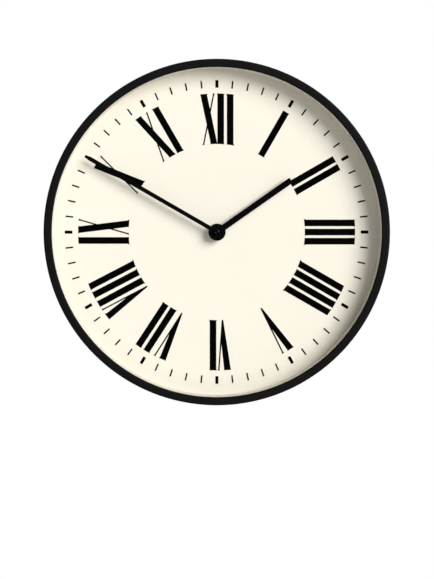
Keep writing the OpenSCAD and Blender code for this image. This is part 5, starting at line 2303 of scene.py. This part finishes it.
@dataclass
class Coil:
    """The motor's coil: a sleeve of fine wire wound in even turns.

    Attributes:
        inner: Radius of the bobbin that it is wound on.
        outer: Radius of the wound coil.
        wire: Radius of the wire.
    """

    inner: float = 1.17 * MM
    outer: float = 2.2 * MM
    wire: float = 0.1 * MM

    def build(self) -> None:
        """Winds the coil."""
        left, right = (end.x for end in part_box("coil_winding"))
        axis = middle("coil_core")
        length = right - left
        wound_r = self.outer - self.wire
        corners = [(self.inner, 0.0), (wound_r, 0.0), (wound_r, length), (self.inner, length)]
        lathe = Lathe(steps=32, corner_steps=1)
        core = lathe.turn("coil_sleeve", corners, COIL_WIRE, True)
        reach = length - 2 * self.wire
        turns = reach / (2 * self.wire)
        made = wound("coil_winding_turns", core, COIL_WIRE, turns, wound_r, reach, self.wire, 6)
        made.data.transform(along_x(left + self.wire, axis.y, axis.z))
        fit(made, "case", "copper_wire", "coil_winding")


@dataclass
class Bush:
    """The threaded bush that holds the movement to the dial, and the nut on it.

    Attributes:
        bore: Radius of the hole through it.
        root: Radius between the thread's turns.
        crest: Radius at the thread's turns.
        flange_r: Radius of the flange.
        flange_t: Thickness of the flange.
        pitch: How far apart the thread's turns are.
        thread_from: How far above the foot the thread starts.
        thread_end: How far below the top it ends.
        edge: Rounding of the bush's edges.
        nut_round: Rounding of the nut's edges.
    """

    bore: float = 2.55 * MM
    root: float = 3.78 * MM
    crest: float = 4.0 * MM
    flange_r: float = 5.5 * MM
    flange_t: float = 0.6 * MM
    pitch: float = 0.75 * MM
    thread_from: float = 2.4 * MM
    thread_end: float = 0.5 * MM
    edge: float = 0.1 * MM
    nut_round: float = 0.2 * MM

    def build(self) -> None:
        """Makes the bush with its thread, and the nut with its corners broken."""
        top, foot = (-end.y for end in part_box("threaded_bush"))
        height = top - foot
        corners = [
            (self.bore, 0.0, self.edge), (self.flange_r, 0.0, self.edge),
            (self.flange_r, self.flange_t, self.edge), (self.root, self.flange_t),
            (self.root, height, 2 * self.edge), (self.bore, height, 2 * self.edge),
        ]
        lathe = Lathe(steps=48, corner_steps=3)
        core = lathe.turn("bush_core", corners, BRASS, True)
        core.data.transform(Matrix.Translation((0.0, 0.0, -self.thread_from)))
        ridge = (self.crest - self.root) * 0.9
        reach = height - self.thread_from - self.thread_end
        turns = reach / self.pitch
        made = wound("threaded_bush_cut", core, BRASS, turns, self.root, reach, ridge, 4)
        made.data.transform(off_wall(foot + self.thread_from))
        fit(made, "case", "brass", "threaded_bush")
        nut = softened("dial_nut_cut", "dial_nut", BRASS, self.nut_round)
        fit(nut, "case", "brass", "dial_nut")


def main() -> None:
    """Builds the clock's finishes and pieces in order."""
    logging.basicConfig(level=logging.INFO, format="%(message)s")
    Studio().build()
    dress_nodes()
    for kind in (Case, Dial, Back, Hands, Movement, SettingKnob, Cell, Coil, Bush):
        kind().build()


if __name__ == "__main__":
    main()
